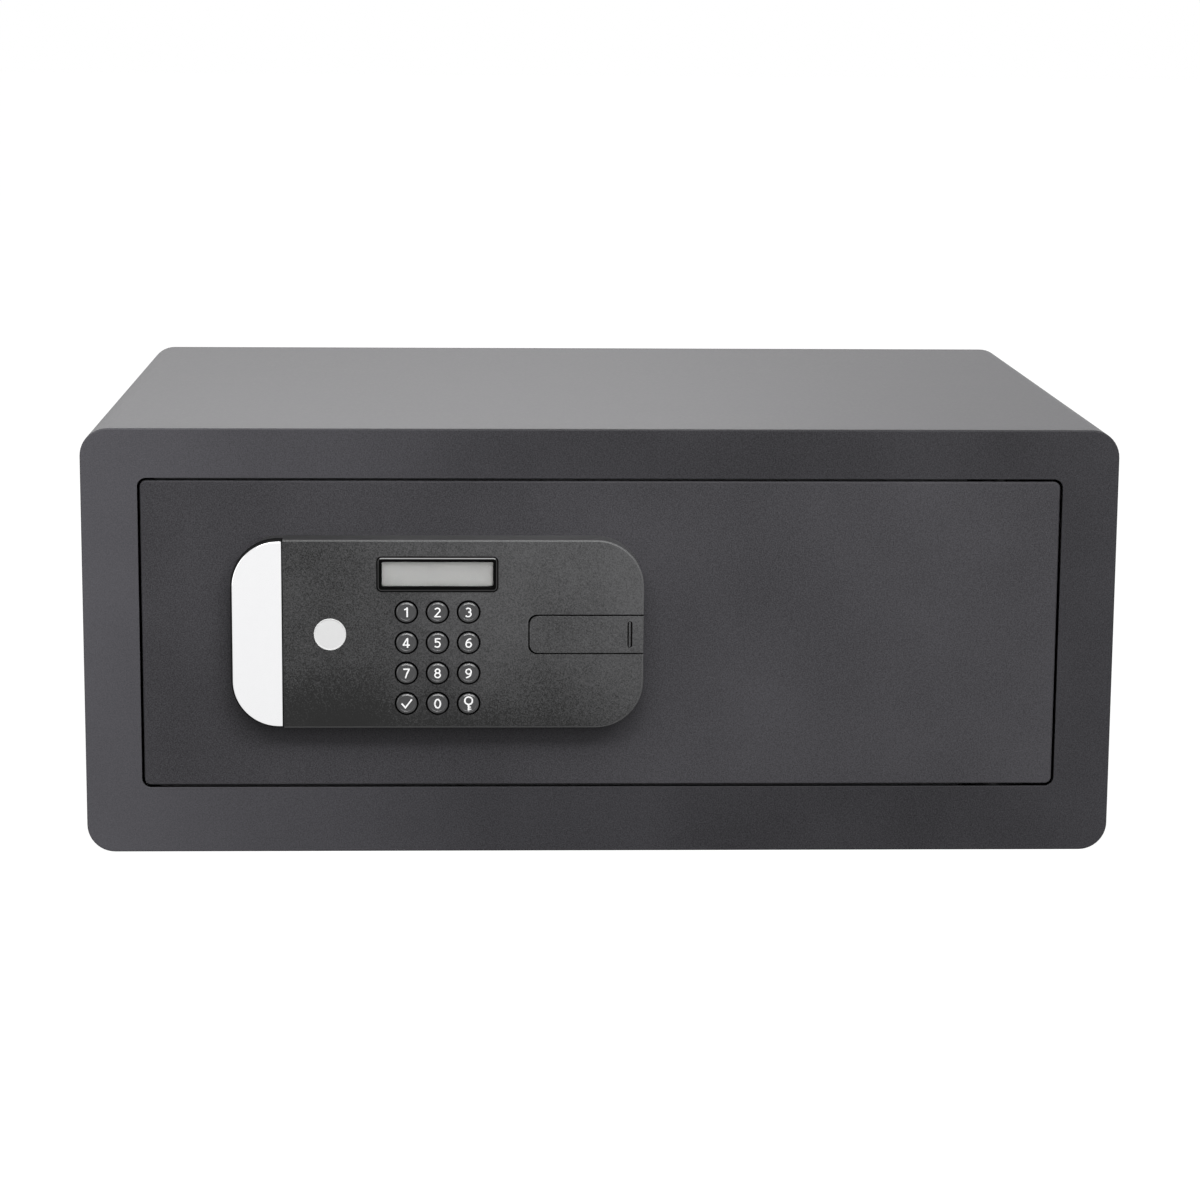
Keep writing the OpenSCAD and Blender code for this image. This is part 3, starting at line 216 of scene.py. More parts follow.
def grain_group():
    """Fine grain and slow clouds on object coordinates, and a tone that rises with place away from
    the middle, which is painted light and shade. Sizes are in metres.
    """
    inputs = [(label, "NodeSocketVector", None) for label in GRAIN_PLACES]
    inputs += [(label, "NodeSocketFloat", None) for label in GRAIN_VALUES]
    outputs = [(label, "NodeSocketFloat") for label in ("Height", "Tone", "Roughness")]
    tree, given, result = new_group("surface_grain", inputs, outputs)
    link = tree.links.new
    place, middle, vector, cloud_share, tone, tone_spread, roughness, roughness_spread = (
        given.outputs[label] for label in (
            "Place", "Middle", "Vector", "Cloud Share", "Tone", "Tone Spread", "Roughness",
            "Roughness Spread"))

    def noise(size_label, detail):
        texture = tree.nodes.new("ShaderNodeTexNoise")
        texture.inputs["Detail"].default_value = detail
        link(vector, texture.inputs["Vector"])
        link(maths(tree, "DIVIDE", 1.0, given.outputs[size_label]), texture.inputs["Scale"])
        return texture.outputs["Fac"]

    fine = noise("Grain Size", GRAIN_DETAIL)
    cloud = noise("Cloud Size", CLOUD_DETAIL)
    both = tree.nodes.new("ShaderNodeMix")
    link(cloud_share, both.inputs["Factor"])
    link(fine, both.inputs["A"])
    link(cloud, both.inputs["B"])
    centred = maths(tree, "SUBTRACT", both.outputs["Result"], 0.5)
    from_middle = maths(tree, "SUBTRACT", place, middle, kind=VECTOR_MATHS)
    squared = maths(tree, "MULTIPLY", from_middle, from_middle, kind=VECTOR_MATHS)
    # Painted light and shade: the tone rises along each axis away from the middle, as if light fell
    # across the piece.
    for along, label in ((from_middle, "Tone Run"), (squared, "Tone Bow")):
        share = maths(tree, "DOT_PRODUCT", along, given.outputs[label], kind=VECTOR_MATHS,
                      result="Value")
        tone = maths(tree, "ADD", share, tone)
    tone = maths(tree, "MULTIPLY_ADD", centred, tone_spread, tone)
    roughness = maths(tree, "MULTIPLY_ADD", centred, roughness_spread, roughness)
    for label, value in (("Height", fine), ("Tone", tone), ("Roughness", roughness)):
        link(value, result.inputs[label])
    return tree


GRAIN = grain_group()
EDGE_TURN = (0.02, 0.14)
LENS_ROUGHNESS = 0.02
LENS_BENDING = 1.3


def linear(value):
    """A colour level from 0 to 255 as the eye sees it, as the linear level that a shader takes."""
    level = value / 255
    return level / 12.92 if level <= 0.04045 else ((level + 0.055) / 1.055) ** 2.4


def shade(red, green, blue):
    return (linear(red), linear(green), linear(blue), 1.0)


def finish(name, dark, light, roughness, grain, depth, cloud=50, cloud_share=0.45, spread=1.0,
           rough_spread=0.1, stretch=(1, 1, 1), tone=0.5, run=(0, 0, 0), bow=(0, 0, 0),
           middle=(0, 0, 0), edge_gloss=None, **constants):
    """A surface whose colour runs from dark to light with its grain.

    grain, depth and cloud are in mm. tone is how far the middle is from dark to light. It rises by
    run per metre and by bow per square metre away from the middle, along each axis; run and bow are
    painted light and shade, lighter where more light falls on the piece. A stretch below 1 draws
    the grain out along that axis. edge_gloss is the specular level where the surface turns away
    from the eye.
    """
    material = bpy.data.materials.new(name)
    material.use_nodes = True
    tree = material.node_tree
    link = tree.links.new
    shader = tree.nodes["Principled BSDF"]
    place = tree.nodes.new("ShaderNodeTexCoord")
    mapping = tree.nodes.new("ShaderNodeMapping")
    mapping.inputs["Scale"].default_value = stretch
    link(place.outputs["Object"], mapping.inputs["Vector"])
    group = tree.nodes.new("ShaderNodeGroup")
    group.node_tree = GRAIN
    # The run and the bow carry painted light and shade.
    for label, value in {
        "Grain Size": grain * MM, "Cloud Size": cloud * MM, "Cloud Share": cloud_share,
        "Tone": tone, "Tone Spread": spread, "Tone Run": run, "Tone Bow": bow, "Middle": middle,
        "Roughness": roughness, "Roughness Spread": rough_spread,
    }.items():
        group.inputs[label].default_value = value
    link(mapping.outputs[0], group.inputs["Vector"])
    link(place.outputs["Object"], group.inputs["Place"])
    colour = tree.nodes.new("ShaderNodeMix")
    colour.data_type = "RGBA"
    colour.inputs["A"].default_value = dark
    colour.inputs["B"].default_value = light
    link(group.outputs["Tone"], colour.inputs["Factor"])
    link(colour.outputs["Result"], shader.inputs["Base Color"])
    link(group.outputs["Roughness"], shader.inputs["Roughness"])
    bump = tree.nodes.new("ShaderNodeBump")
    bump.inputs["Distance"].default_value = depth * MM
    link(group.outputs["Height"], bump.inputs["Height"])
    link(bump.outputs[0], shader.inputs["Normal"])
    for label, value in constants.items():
        shader.inputs[label.replace("_", " ")].default_value = value
    if edge_gloss:
        facing = tree.nodes.new("ShaderNodeLayerWeight")
        level = tree.nodes.new("ShaderNodeMapRange")
        level.inputs["From Min"].default_value, level.inputs["From Max"].default_value = EDGE_TURN
        level.inputs["To Min"].default_value = constants["Specular_IOR_Level"]
        level.inputs["To Max"].default_value = edge_gloss
        link(facing.outputs["Facing"], level.inputs["Value"])
        link(level.outputs[0], shader.inputs["Specular IOR Level"])
    return material


def clear_plastic(name):
    """A clear window, which bends light a little less than solid plastic does."""
    material = bpy.data.materials.new(name)
    material.use_nodes = True
    shader = material.node_tree.nodes["Principled BSDF"]
    shader.inputs["Base Color"].default_value = (1, 1, 1, 1)
    shader.inputs["Roughness"].default_value = LENS_ROUGHNESS
    shader.inputs["Transmission Weight"].default_value = 1.0
    shader.inputs["IOR"].default_value = LENS_BENDING
    return material


POWDER_COAT = finish("powder_coat", shade(30, 29, 32), shade(80, 79, 83), 0.42, 1.5, 0.03,
                     cloud=90, cloud_share=0.3, spread=2.4, rough_spread=0.3,
                     Specular_IOR_Level=0.22)
# The front frame's copy of the powder coat, with painted light: lighter towards both ends, most at
# the left, as light falls on the frame.
FRAME_COAT_WITH_PAINTED_LIGHT = finish("frame_coat_with_painted_light", shade(6, 5, 7), shade(100, 99, 104), 0.42, 0.55, 0.02,
                    cloud=90, cloud_share=0.3, spread=0.75, rough_spread=0.3, tone=0.26,
                    run=(-0.73, 0, 0), bow=(3.2, 0, 0), Specular_IOR_Level=0.15)
# The door's copy of the powder coat, with painted light: lighter towards the right and darker
# towards the top.
DOOR_COAT_WITH_PAINTED_LIGHT = finish("door_coat_painted_light", shade(12, 11, 13), shade(84, 83, 87), 0.42, 0.55, 0.02,
                   cloud=90, cloud_share=0.3, spread=1.45, rough_spread=0.3,
                   run=(0.35, 0, -0.3), middle=(0, 0, 0.1), Specular_IOR_Level=0.15)
INNER_COAT = finish("inner_coat", shade(60, 60, 63), shade(78, 78, 81), 0.5, 0.9, 0.02, cloud=60)
# The panel's plastic, with a painted sheen: lighter towards the right and towards its top, darkest
# at its lower left, as light falls on the panel.
MOULDED_PANEL_WITH_PAINTED_SHEEN = finish("moulded_panel_painted_sheen", shade(6, 6, 6), shade(82, 82, 83), 0.36, 0.52, 0.1,
                       cloud=40, cloud_share=0.3, spread=2.4, rough_spread=0.3, tone=0.51,
                       run=(3.0, 0, 8.2), bow=(0, 0, -115), middle=(-0.045, 0, 0.1), edge_gloss=1.0,
                       Specular_IOR_Level=0.3)
KEY_SATIN = finish("key_satin", shade(52, 52, 53), shade(64, 64, 65), 0.2, 0.5, 0.003,
                   Specular_IOR_Level=0.5)
GLOSS_BLACK = finish("gloss_black", shade(3, 3, 3), shade(6, 6, 6), 0.08, 3.0, 0.0005,
                     rough_spread=0.02, Specular_IOR_Level=0.5)
CHROMED_CAP = finish("chromed_cap", shade(240, 240, 241), shade(244, 244, 245), 0.08, 4.0, 0.0004,
                     rough_spread=0.02, Metallic=1.0)
SATIN_DISC = finish("satin_disc", shade(212, 212, 212), shade(225, 225, 225), 0.45, 0.4, 0.004)
PRINTED_WHITE = finish("printed_white", shade(246, 246, 246), shade(252, 252, 252), 0.5, 0.4, 0.002)
ZINC_PLATE = finish("zinc_plate", shade(168, 170, 172), shade(196, 198, 200), 0.34, 0.8, 0.006,
                    spread=1.6, rough_spread=0.2, Metallic=1.0)
BLACKENED_STEEL = finish("blackened_steel", shade(30, 30, 31), shade(42, 42, 43), 0.4, 0.6, 0.004,
                         Metallic=0.6)
NICKEL = finish("nickel", shade(196, 196, 194), shade(216, 216, 214), 0.2, 0.5, 0.002,
                rough_spread=0.12, stretch=(0.05, 1, 1), Metallic=1.0)
MACHINED_BRASS = finish("machined_brass", shade(176, 150, 96), shade(204, 178, 120), 0.28, 0.5,
                        0.004, rough_spread=0.15, Metallic=1.0)
LIQUID_CRYSTAL = finish("liquid_crystal", shade(147, 147, 145), shade(159, 159, 157), 0.4, 0.6,
                        0.002, cloud=30)
CIRCUIT_GREEN = finish("circuit_green", shade(22, 70, 44), shade(32, 90, 58), 0.35, 1.5, 0.01)
SILICONE = finish("silicone", shade(40, 40, 41), shade(52, 52, 53), 0.7, 0.5, 0.004)
LEAD_RED = finish("lead_red", shade(140, 34, 28), shade(160, 44, 36), 0.5, 0.5, 0.004)
RIM_BLACK = finish("rim_black", shade(5, 5, 5), shade(9, 9, 9), 0.4, 3.0, 0.0005,
                   Specular_IOR_Level=0.02)
# Black for the cap's shell; also painted shade on the sides of the keys and of the key cover.
CAP_SHELL_AND_PAINTED_SHADE = finish("cap_shell_and_painted_shade", shade(10, 10, 10), shade(18, 18, 18), 0.5, 0.6, 0.01,
                   Specular_IOR_Level=0.1)
# Black plastic; also painted shadow on the floor under the safe.
BLACK_MOULDING_AND_PAINTED_SHADOW = finish("black_moulding_and_painted_shadow", shade(28, 28, 29), shade(44, 44, 45), 0.5, 0.6, 0.03,
                        spread=1.5)
CELL_SLEEVE = finish("cell_sleeve", shade(52, 56, 60), shade(66, 70, 74), 0.25, 1.0, 0.002)
RED_BUTTON = finish("red_button", shade(150, 24, 24), shade(172, 32, 30), 0.3, 0.5, 0.004)
NEEDLE_FELT = finish("needle_felt", shade(30, 30, 32), shade(66, 66, 69), 0.95, 0.7, 0.35, cloud=12,
                     spread=2.0, Sheen_Weight=0.35, Sheen_Roughness=0.5)
CLEAR_LENS = clear_plastic("clear_lens")

FINISH_OF_SLOT = {
    "charcoal_steel": POWDER_COAT, "inner_steel": INNER_COAT, "plated_steel": ZINC_PLATE,
    "bright_steel": NICKEL, "brass_metal": MACHINED_BRASS, "dark_felt": NEEDLE_FELT,
    "panel_plastic": MOULDED_PANEL_WITH_PAINTED_SHEEN, "key_plastic": KEY_SATIN, "bright_cap": CHROMED_CAP,
    "satin_inlay": SATIN_DISC, "gloss_rim": GLOSS_BLACK, "clear_lens": CLEAR_LENS,
    "display_grey": LIQUID_CRYSTAL, "board_green": CIRCUIT_GREEN, "key_rubber": SILICONE,
    "lead_red": LEAD_RED, "black_plastic": BLACK_MOULDING_AND_PAINTED_SHADOW, "battery_jacket": CELL_SLEEVE,
    "red_plastic": RED_BUTTON, "dark_steel": BLACKENED_STEEL,
}
SLOT_OF_NODE = {part["node"]: part["material_slot"] for part in frame["record"]["subparts"]}
BODY_OF_NODE = {
    node: body for body, nodes in frame["record"]["behaviour"]["bodies"].items() for node in nodes
}


def dress_cad_nodes():
    for node, piece in frame["nodes"].items():
        piece.data.materials.clear()
        piece.data.materials.append(FINISH_OF_SLOT[SLOT_OF_NODE[node]])


# Shaping helpers

JOINED_WITHIN = 1e-6
FLAT_WITHIN = 0.4
EASED_FROM = 30
EASE_STEPS = 3
FLAT_FACE_WEIGHT = 80


def new_piece(name, mesh):
    piece = bpy.data.objects.new(name, mesh)
    scene.collection.objects.link(piece)
    return piece


def mesh_of(form, name):
    """A mesh made from a bmesh, which is freed."""
    mesh = bpy.data.meshes.new(name)
    form.to_mesh(mesh)
    form.free()
    return mesh


def stand_for(piece, node, *materials):
    """Gives a finished piece the body of the CAD node that it stands for and, if it has no
    materials yet, the given ones or else the finish of that node's slot.
    """
    slot = SLOT_OF_NODE[node]
    if not piece.data.materials:
        for material in materials or (FINISH_OF_SLOT[slot],):
            piece.data.materials.append(material)
    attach(piece, BODY_OF_NODE[node])
    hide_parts(node)


def settled(piece, name):
    """The piece with its modifiers applied, as a plain mesh object."""
    graph = bpy.context.evaluated_depsgraph_get()
    mesh = bpy.data.meshes.new_from_object(
        piece.evaluated_get(graph), preserve_all_data_layers=True, depsgraph=graph)
    result = new_piece(name, mesh)
    bpy.data.objects.remove(piece)
    mesh.name = name
    return result


def cad_form(node):
    """A CAD node's loose triangles, joined."""
    form = bmesh.new()
    form.from_mesh(frame["nodes"][node].data)
    bmesh.ops.remove_doubles(form, verts=form.verts, dist=JOINED_WITHIN)
    return form


def merged_form(node):
    """A CAD node's triangles joined, with its flat faces made whole again."""
    form = cad_form(node)
    bmesh.ops.dissolve_limit(form, angle_limit=math.radians(FLAT_WITHIN), verts=form.verts,
                             edges=form.edges)
    return form


def solid_boxes(node):
    """The lowest and highest corner of each separate solid in a CAD node, from left to right."""
    form = cad_form(node)
    left = set(form.verts)
    boxes = []
    while left:
        open_ends = [left.pop()]
        group = []
        while open_ends:
            vert = open_ends.pop()
            group.append(vert.co.copy())
            for edge in vert.link_edges:
                other = edge.other_vert(vert)
                if other in left:
                    left.remove(other)
                    open_ends.append(other)
        low = Vector([min(co[i] for co in group) for i in range(3)])
        high = Vector([max(co[i] for co in group) for i in range(3)])
        boxes.append((low, high))
    form.free()
    return sorted(boxes, key=lambda box: (round(box[0].x, 4), round(box[0].z, 4)))


def softened(node, ease, where=None, form=None, materials=()):
    """A copy of a CAD node with its edges rounded by ease, in mm, as folding and moulding do."""
    form = form or merged_form(node)
    weights = form.edges.layers.float.new("bevel_weight_edge")
    for edge in form.edges:
        if len(edge.link_faces) == 2 and edge.calc_face_angle(0) > math.radians(EASED_FROM):
            middle = (edge.verts[0].co + edge.verts[1].co) / 2
            if where is None or where(middle):
                edge[weights] = 1.0
    mesh = mesh_of(form, node)
    for polygon in mesh.polygons:
        polygon.use_smooth = True
    piece = new_piece(node + "_draft", mesh)
    bevel = piece.modifiers.new("eased_edges", "BEVEL")
    bevel.width = ease * MM
    bevel.segments = EASE_STEPS
    bevel.limit_method = "WEIGHT"
    bevel.material = 0 if len(materials) > 1 else -1
    weight = piece.modifiers.new("flat_faces", "WEIGHTED_NORMAL")
    weight.keep_sharp = True
    weight.weight = FLAT_FACE_WEIGHT
    stand_for(settled(piece, node + "_finished"), node, *materials)


def arc(centre, radius, start, end, steps):
    """Points on an arc, in degrees, with both ends."""
    return [
        (centre[0] + radius * math.cos(math.radians(start + (end - start) * i / steps)),
         centre[1] + radius * math.sin(math.radians(start + (end - start) * i / steps)))
        for i in range(steps + 1)
    ]


def lathed(form, outline, origin, axis, steps=96, material=0):
    """Turns an outline of (radius, height) points, in mm, round an axis.

    An end on the axis closes the form there.
    """
    axis = Vector(axis).normalized()
    side = axis.orthogonal().normalized()
    other = axis.cross(side)
    rings = []
    for radius, height in outline:
        at = Vector(origin) + axis * height * MM
        if not radius:
            rings.append([form.verts.new(at)])
            continue
        turns = [2 * math.pi * k / steps for k in range(steps)]
        rings.append([form.verts.new(at + (side * math.cos(t) + other * math.sin(t)) * radius * MM)
                      for t in turns])
    made = []
    for low, high in zip(rings, rings[1:]):
        for k in range(steps):
            corners = [low[k % len(low)], low[(k + 1) % len(low)],
                       high[(k + 1) % len(high)], high[k % len(high)]]
            corners = list(dict.fromkeys(corners))
            if len(corners) > 2:
                made.append(form.faces.new(corners))
    for face in made:
        face.smooth = True
        face.material_index = material
    bmesh.ops.recalc_face_normals(form, faces=made)


def prism(form, outline, low, high):
    """An upright solid on an outline of (x, z) points in mm, between two depths y in metres."""
    rear = [form.verts.new((x * MM, high, z * MM)) for x, z in outline]
    front = [form.verts.new((x * MM, low, z * MM)) for x, z in outline]
    made = [form.faces.new(rear), form.faces.new(front[::-1])]
    count = len(outline)
    for k in range(count):
        m = (k + 1) % count
        made.append(form.faces.new([rear[k], front[k], front[m], rear[m]]))
    bmesh.ops.recalc_face_normals(form, faces=made)
    return made


# Keys: turned caps with a sloping shoulder and a printed sign. Sizes are in mm.

PANEL_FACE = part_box("panel_housing")[0].y
PANEL_WALL = 2.2
KEY_RADIUS = 4.7
KEY_SHOULDER = 0.4
KEY_SLOPE = 0.6
KEY_SLOPE_ANGLE = 27
KEY_CROWN = 0.35
KEY_DISH = 0.22
KEY_DISH_RADIUS = 3.5
KEY_DISH_WALL = 0.1
KEY_STEM_RADIUS = 2.4
KEY_STEM_BEVEL = 0.3
KEY_FLANGE = 1.0
# The outline points up to the foot of the shoulder, whose faces are painted dark as shade in the
# gap round the key.
KEY_SKIRT_PAINTED_DARK = 9
BEND_STEPS = 6
SIGN_PROUD = 0.03
SIGN_SUNK = 0.1
SIGN_STEP = 0.004
STROKE = 0.64
FINE_STROKE = 0.5
SOLID_STROKE = 0.72


def key_outline(length, flange_radius, flange_height):
    """From the foot of the stem to the middle of the dished face; heights count from the foot."""
    slope = math.radians(KEY_SLOPE_ANGLE)
    rise = (KEY_SHOULDER * (1 - math.cos(slope)) + KEY_SLOPE * math.sin(slope)
            + KEY_CROWN * (1 - math.cos(slope)))
    reach = KEY_SLOPE * math.cos(slope)
    shoulder = (KEY_RADIUS - KEY_SHOULDER, length - rise - KEY_SHOULDER * math.cos(slope))
    edge = arc(shoulder, KEY_SHOULDER, 0, 90 - KEY_SLOPE_ANGLE, BEND_STEPS)
    crown_middle = edge[-1][0] - reach - KEY_CROWN * math.sin(slope)
    stem = [(0, 0), (KEY_STEM_RADIUS - KEY_STEM_BEVEL, 0), (KEY_STEM_RADIUS, KEY_STEM_BEVEL),
            (KEY_STEM_RADIUS, flange_height - KEY_FLANGE)]
    flange = [(flange_radius, flange_height - KEY_FLANGE), (flange_radius, flange_height),
              (KEY_RADIUS, flange_height)]
    crown = arc((crown_middle, length - KEY_CROWN), KEY_CROWN, 90 - KEY_SLOPE_ANGLE, 120,
                BEND_STEPS)
    dish = [(across, length - KEY_DISH)
            for across in (KEY_DISH_RADIUS, KEY_DISH_RADIUS - KEY_DISH_WALL, 0)]
    return stem + flange + edge + crown + dish


def ribbon(form, points, low, high, closed, width):
    """A flat line of paint on a key: points (x, z) in mm, mitred corners, between two depths y."""
    places = [Vector(point) for point in points]
    count = len(places)
    rails = []
    for i, place in enumerate(places):
        before = (place - places[i - 1]).normalized() if i or closed else None
        after = (places[(i + 1) % count] - place).normalized() if i + 1 < count or closed else None
        along = ((before or after) + (after or before)).normalized()
        across = Vector((-along.y, along.x)) * (width / 2 / along.dot(before or after))
        rails.append([
            form.verts.new((x * MM, y, z * MM)) for x, z, y in (
                (*(place + across), low), (*(place - across), low),
                (*(place - across), high), (*(place + across), high))
        ])
    made = []
    for a, b in list(zip(rails, rails[1:])) + ([(rails[-1], rails[0])] if closed else []):
        for k in range(4):
            made.append(form.faces.new([a[k], a[(k + 1) % 4], b[(k + 1) % 4], b[k]]))
    if not closed:
        made += [form.faces.new(rails[0]), form.faces.new(rails[-1][::-1])]
    for face in made:
        face.material_index = 1
    bmesh.ops.recalc_face_normals(form, faces=made)


def oval(centre, across, up, start=0, end=360, steps=28):
    """Points on an oval, in degrees. A whole oval leaves out its last point."""
    count = steps if end - start == 360 else steps + 1
    turns = [math.radians(start + (end - start) * i / steps) for i in range(count)]
    return [(centre[0] + across * math.cos(t), centre[1] + up * math.sin(t)) for t in turns]


# Each sign is a list of lines, in mm from the middle, with True for a closed one, and their widths.
SIGNS = {
    "key_1": [([(0.4, -2.3), (0.4, 2.3)], False, SOLID_STROKE),
              ([(0.45, 1.95), (-0.25, 1.5), (-1.0, 1.25)], False, STROKE)],
    "key_2": [(oval((-0.05, 0.95), 1.15, 1.02, 158, -28) + [(-1.15, -1.9)], False, STROKE),
              ([(-1.5, -1.97), (1.5, -1.97)], False, STROKE)],
    "key_3": [(oval((-0.15, 1.02), 1.08, 0.96, 150, -88), False, STROKE),
              (oval((-0.2, -0.88), 1.3, 1.1, 88, -148), False, STROKE)],
    "key_4": [([(0.52, -2.3), (0.52, 2.3)], False, 0.68),
              ([(0.3, 2.05), (-1.4, -0.8)], False, STROKE),
              ([(-1.72, -1.0), (1.6, -1.0)], False, STROKE)],
    "key_5": [([(1.35, 1.97), (-0.9, 1.97)], False, STROKE),
              ([(-0.85, 2.29), (-0.95, 0.1)], False, STROKE),
              (oval((-0.15, -0.68), 1.28, 1.26, 118, -145), False, STROKE)],
    "key_6": [(oval((0.02, -0.82), 1.2, 1.16), True, STROKE),
              ([(1.2, 1.98), (0.45, 1.88), (-0.4, 1.4), (-0.95, 0.6), (-1.18, -0.6)],
               False, STROKE)],
    "key_7": [([(-1.5, 1.97), (1.5, 1.97)], False, STROKE),
              ([(1.18, 1.8), (0.15, -0.2), (-0.5, -2.3)], False, 0.7)],
    "key_8": [(oval((0, 1.06), 1.02, 0.93), True, STROKE),
              (oval((0, -0.9), 1.22, 1.08), True, STROKE)],
    "key_9": [(oval((-0.02, 0.82), 1.2, 1.16), True, STROKE),
              ([(-1.2, -1.98), (-0.45, -1.88), (0.4, -1.4), (0.95, -0.6), (1.18, 0.6)],
               False, STROKE)],
    "key_0": [(oval((0, 0), 1.26, 2.0, steps=40), True, 0.68)],
    "key_enter": [([(-2.3, 0.1), (-0.55, -1.85), (2.45, 2.1)], False, 0.74)],
    "key_lock": [(oval((0, 1.4), 1.75, 1.75, steps=40), True, SOLID_STROKE),
                 ([(0, -0.05), (0, -3.2)], False, 0.8),
                 ([(0.2, -2.6), (1.25, -2.6)], False, FINE_STROKE),
                 ([(0.2, -1.65), (1.05, -1.65)], False, FINE_STROKE)],
}


def make_key(node):
    """A key on the place of its CAD node, from the end of its stem to its sign."""
    low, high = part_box(node)
    middle = (low + high) / 2
    length = (high.y - low.y) / MM
    flange_radius = (high.x - low.x) / 2 / MM
    flange_height = length - (PANEL_FACE - low.y) / MM - PANEL_WALL
    form = bmesh.new()
    foot = Vector((middle.x, high.y, middle.z))
    outline = key_outline(length, flange_radius, flange_height)
    # Painted shade: the key's stem, flange and side, up to its shoulder, take the dark finish, as
    # the shadow in the gap round the key.
    lathed(form, outline[:KEY_SKIRT_PAINTED_DARK], foot, (0, -1, 0), material=2)
    lathed(form, outline[KEY_SKIRT_PAINTED_DARK - 1:], foot, (0, -1, 0))
    bmesh.ops.remove_doubles(form, verts=form.verts, dist=JOINED_WITHIN)
    bmesh.ops.recalc_face_normals(form, faces=form.faces)
    face = low.y + KEY_DISH * MM
    front, rear = face - SIGN_PROUD * MM, face + SIGN_SUNK * MM
    for layer, (line, closed, width) in enumerate(SIGNS[node]):
        moved = [(x + middle.x / MM, z + middle.z / MM) for x, z in line]
        ribbon(form, moved, front - layer * SIGN_STEP * MM, rear, closed, width)
    piece = new_piece(node + "_finished", mesh_of(form, node))
    stand_for(piece, node, KEY_SATIN, PRINTED_WHITE, CAP_SHELL_AND_PAINTED_SHADE)


# The rest of the panel. Sizes are in mm and angles in degrees.

CAP_CORNER = 22.0
CAP_ROUND = 0.8
CAP_SKIN = 1.6
CAP_SKIN_BEND = 0.3
CAP_BEVEL = 0.2
CAP_BEVEL_MIDDLE = 0.06
CAP_INNER_FACE = 0.2
CAP_INNER_WALL = 0.5
CAP_CORNER_STEPS = 24
ROUND_STEPS = 8
PLATE_THICK = 1.1
PLATE_SUNK = 0.1
PLATE_INSET = 0.65
PLATE_END = 0.25
RIM_CORNER = 2.4
RIM_INNER_CORNER = 0.6
RIM_EDGE = 0.25
RIM_EDGE_STEPS = 4
RIM_FOOT_RING = 0.1
RIM_INNER_RING = 0.25
RIM_LEDGE = 0.6
RIM_FACET = 0.55
RIM_SLOPE = 26.5
RIM_FACET_EDGE = 0.02
RIM_STEP = 0.05
RIM_GLOSSY = (7, 8, 9)
RIM_SHARP = 40
LENS_LIP = 1.25
COVER_DRAFT = 0.45
COVER_EASE = 0.2
SHADED_FROM = 0.6
SIDEWAYS_BELOW = 0.3
GROOVE_DEPTH = 0.8
GROOVE_SUNK = 0.9
RIB_WIDTH = 0.8
RIB_END = 0.5
RIB_DEPTH = 0.15
RIB_ROOTED = 0.2
LEVEL_WITHIN = 0.05
INLAY_EASE = 0.1
INLAY_ROUND = 0.3
INLAY_RIM = 0.5
INLAY_DISH = 0.12
INLAY_STEP = 0.1
FINE_STEPS = 5


def d_line(inset, right):
    """The panel's outline from its upper to its lower edge round the left end, inset, in mm."""
    low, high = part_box("grip_cap")
    left, foot, head = low.x / MM + inset, low.z / MM + inset, high.z / MM - inset
    radius = CAP_CORNER - inset
    upper = arc((left + radius, head - radius), radius, 90, 180, CAP_CORNER_STEPS)
    lower = arc((left + radius, foot + radius), radius, 180, 270, CAP_CORNER_STEPS)
    return [(right, head)] + upper + lower + [(right, foot)]


def joined_rings(form, rings, closed, material=0):
    """Walls between neighbouring rings of vertices."""
    count = len(rings[0])
    for a, b in zip(rings, rings[1:]):
        for k in range(count if closed else count - 1):
            m = (k + 1) % count
            face = form.faces.new([a[k], a[m], b[m], b[k]])
            face.material_index = material
            face.smooth = True


def make_grip_cap():
    """The cap: a thin dark shell, open behind and at its right end, with a bright front plate."""
    low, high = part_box("grip_cap")
    depth = (high.y - low.y) / MM
    form = bmesh.new()

    def ring(inset, height, right):
        return [form.verts.new((x * MM, high.y - height * MM, z * MM))
                for x, z in d_line(inset, right)]

    front = depth - PLATE_THICK
    right = high.x / MM
    outer_line = [(0.0, 0.0), (0.0, front - CAP_BEVEL),
                  (CAP_BEVEL_MIDDLE, front - CAP_BEVEL_MIDDLE), (CAP_BEVEL, front)]
    inner_line = [(CAP_SKIN + CAP_SKIN_BEND, depth - CAP_SKIN - CAP_INNER_FACE),
                  (CAP_SKIN, depth - CAP_SKIN - CAP_INNER_WALL), (CAP_SKIN, 0.0)]
    outside = [ring(*place, right) for place in outer_line]
    inside = [ring(*place, right) for place in inner_line]
    for rings in (outside, inside, [inside[-1], outside[0]]):
        joined_rings(form, rings, False, 1)
    sheets = [form.faces.new(outside[-1]), form.faces.new(inside[0])]
    ends = [[line[0] for line in outside] + [line[-1] for line in outside][::-1],
            [line[-1] for line in inside][::-1] + [line[0] for line in inside]]
    sheets.append(form.faces.new(ends[0] + ends[1]))
    for face in sheets:
        face.material_index = 1
    plate = [ring(PLATE_INSET, front - PLATE_SUNK, right - PLATE_END)]
    for x, height in arc((0, depth - CAP_ROUND), CAP_ROUND, 0, 90, ROUND_STEPS):
        inset = PLATE_INSET + CAP_ROUND - x
        plate.append(ring(inset, height, right - PLATE_END - (inset - PLATE_INSET) / 4))
    joined_rings(form, plate, True)
    form.faces.new(plate[0])
    form.faces.new(plate[-1])
    bmesh.ops.recalc_face_normals(form, faces=form.faces)
    piece = new_piece("grip_cap_finished", mesh_of(form, "grip_cap"))
    stand_for(piece, "grip_cap", CHROMED_CAP, CAP_SHELL_AND_PAINTED_SHADE)


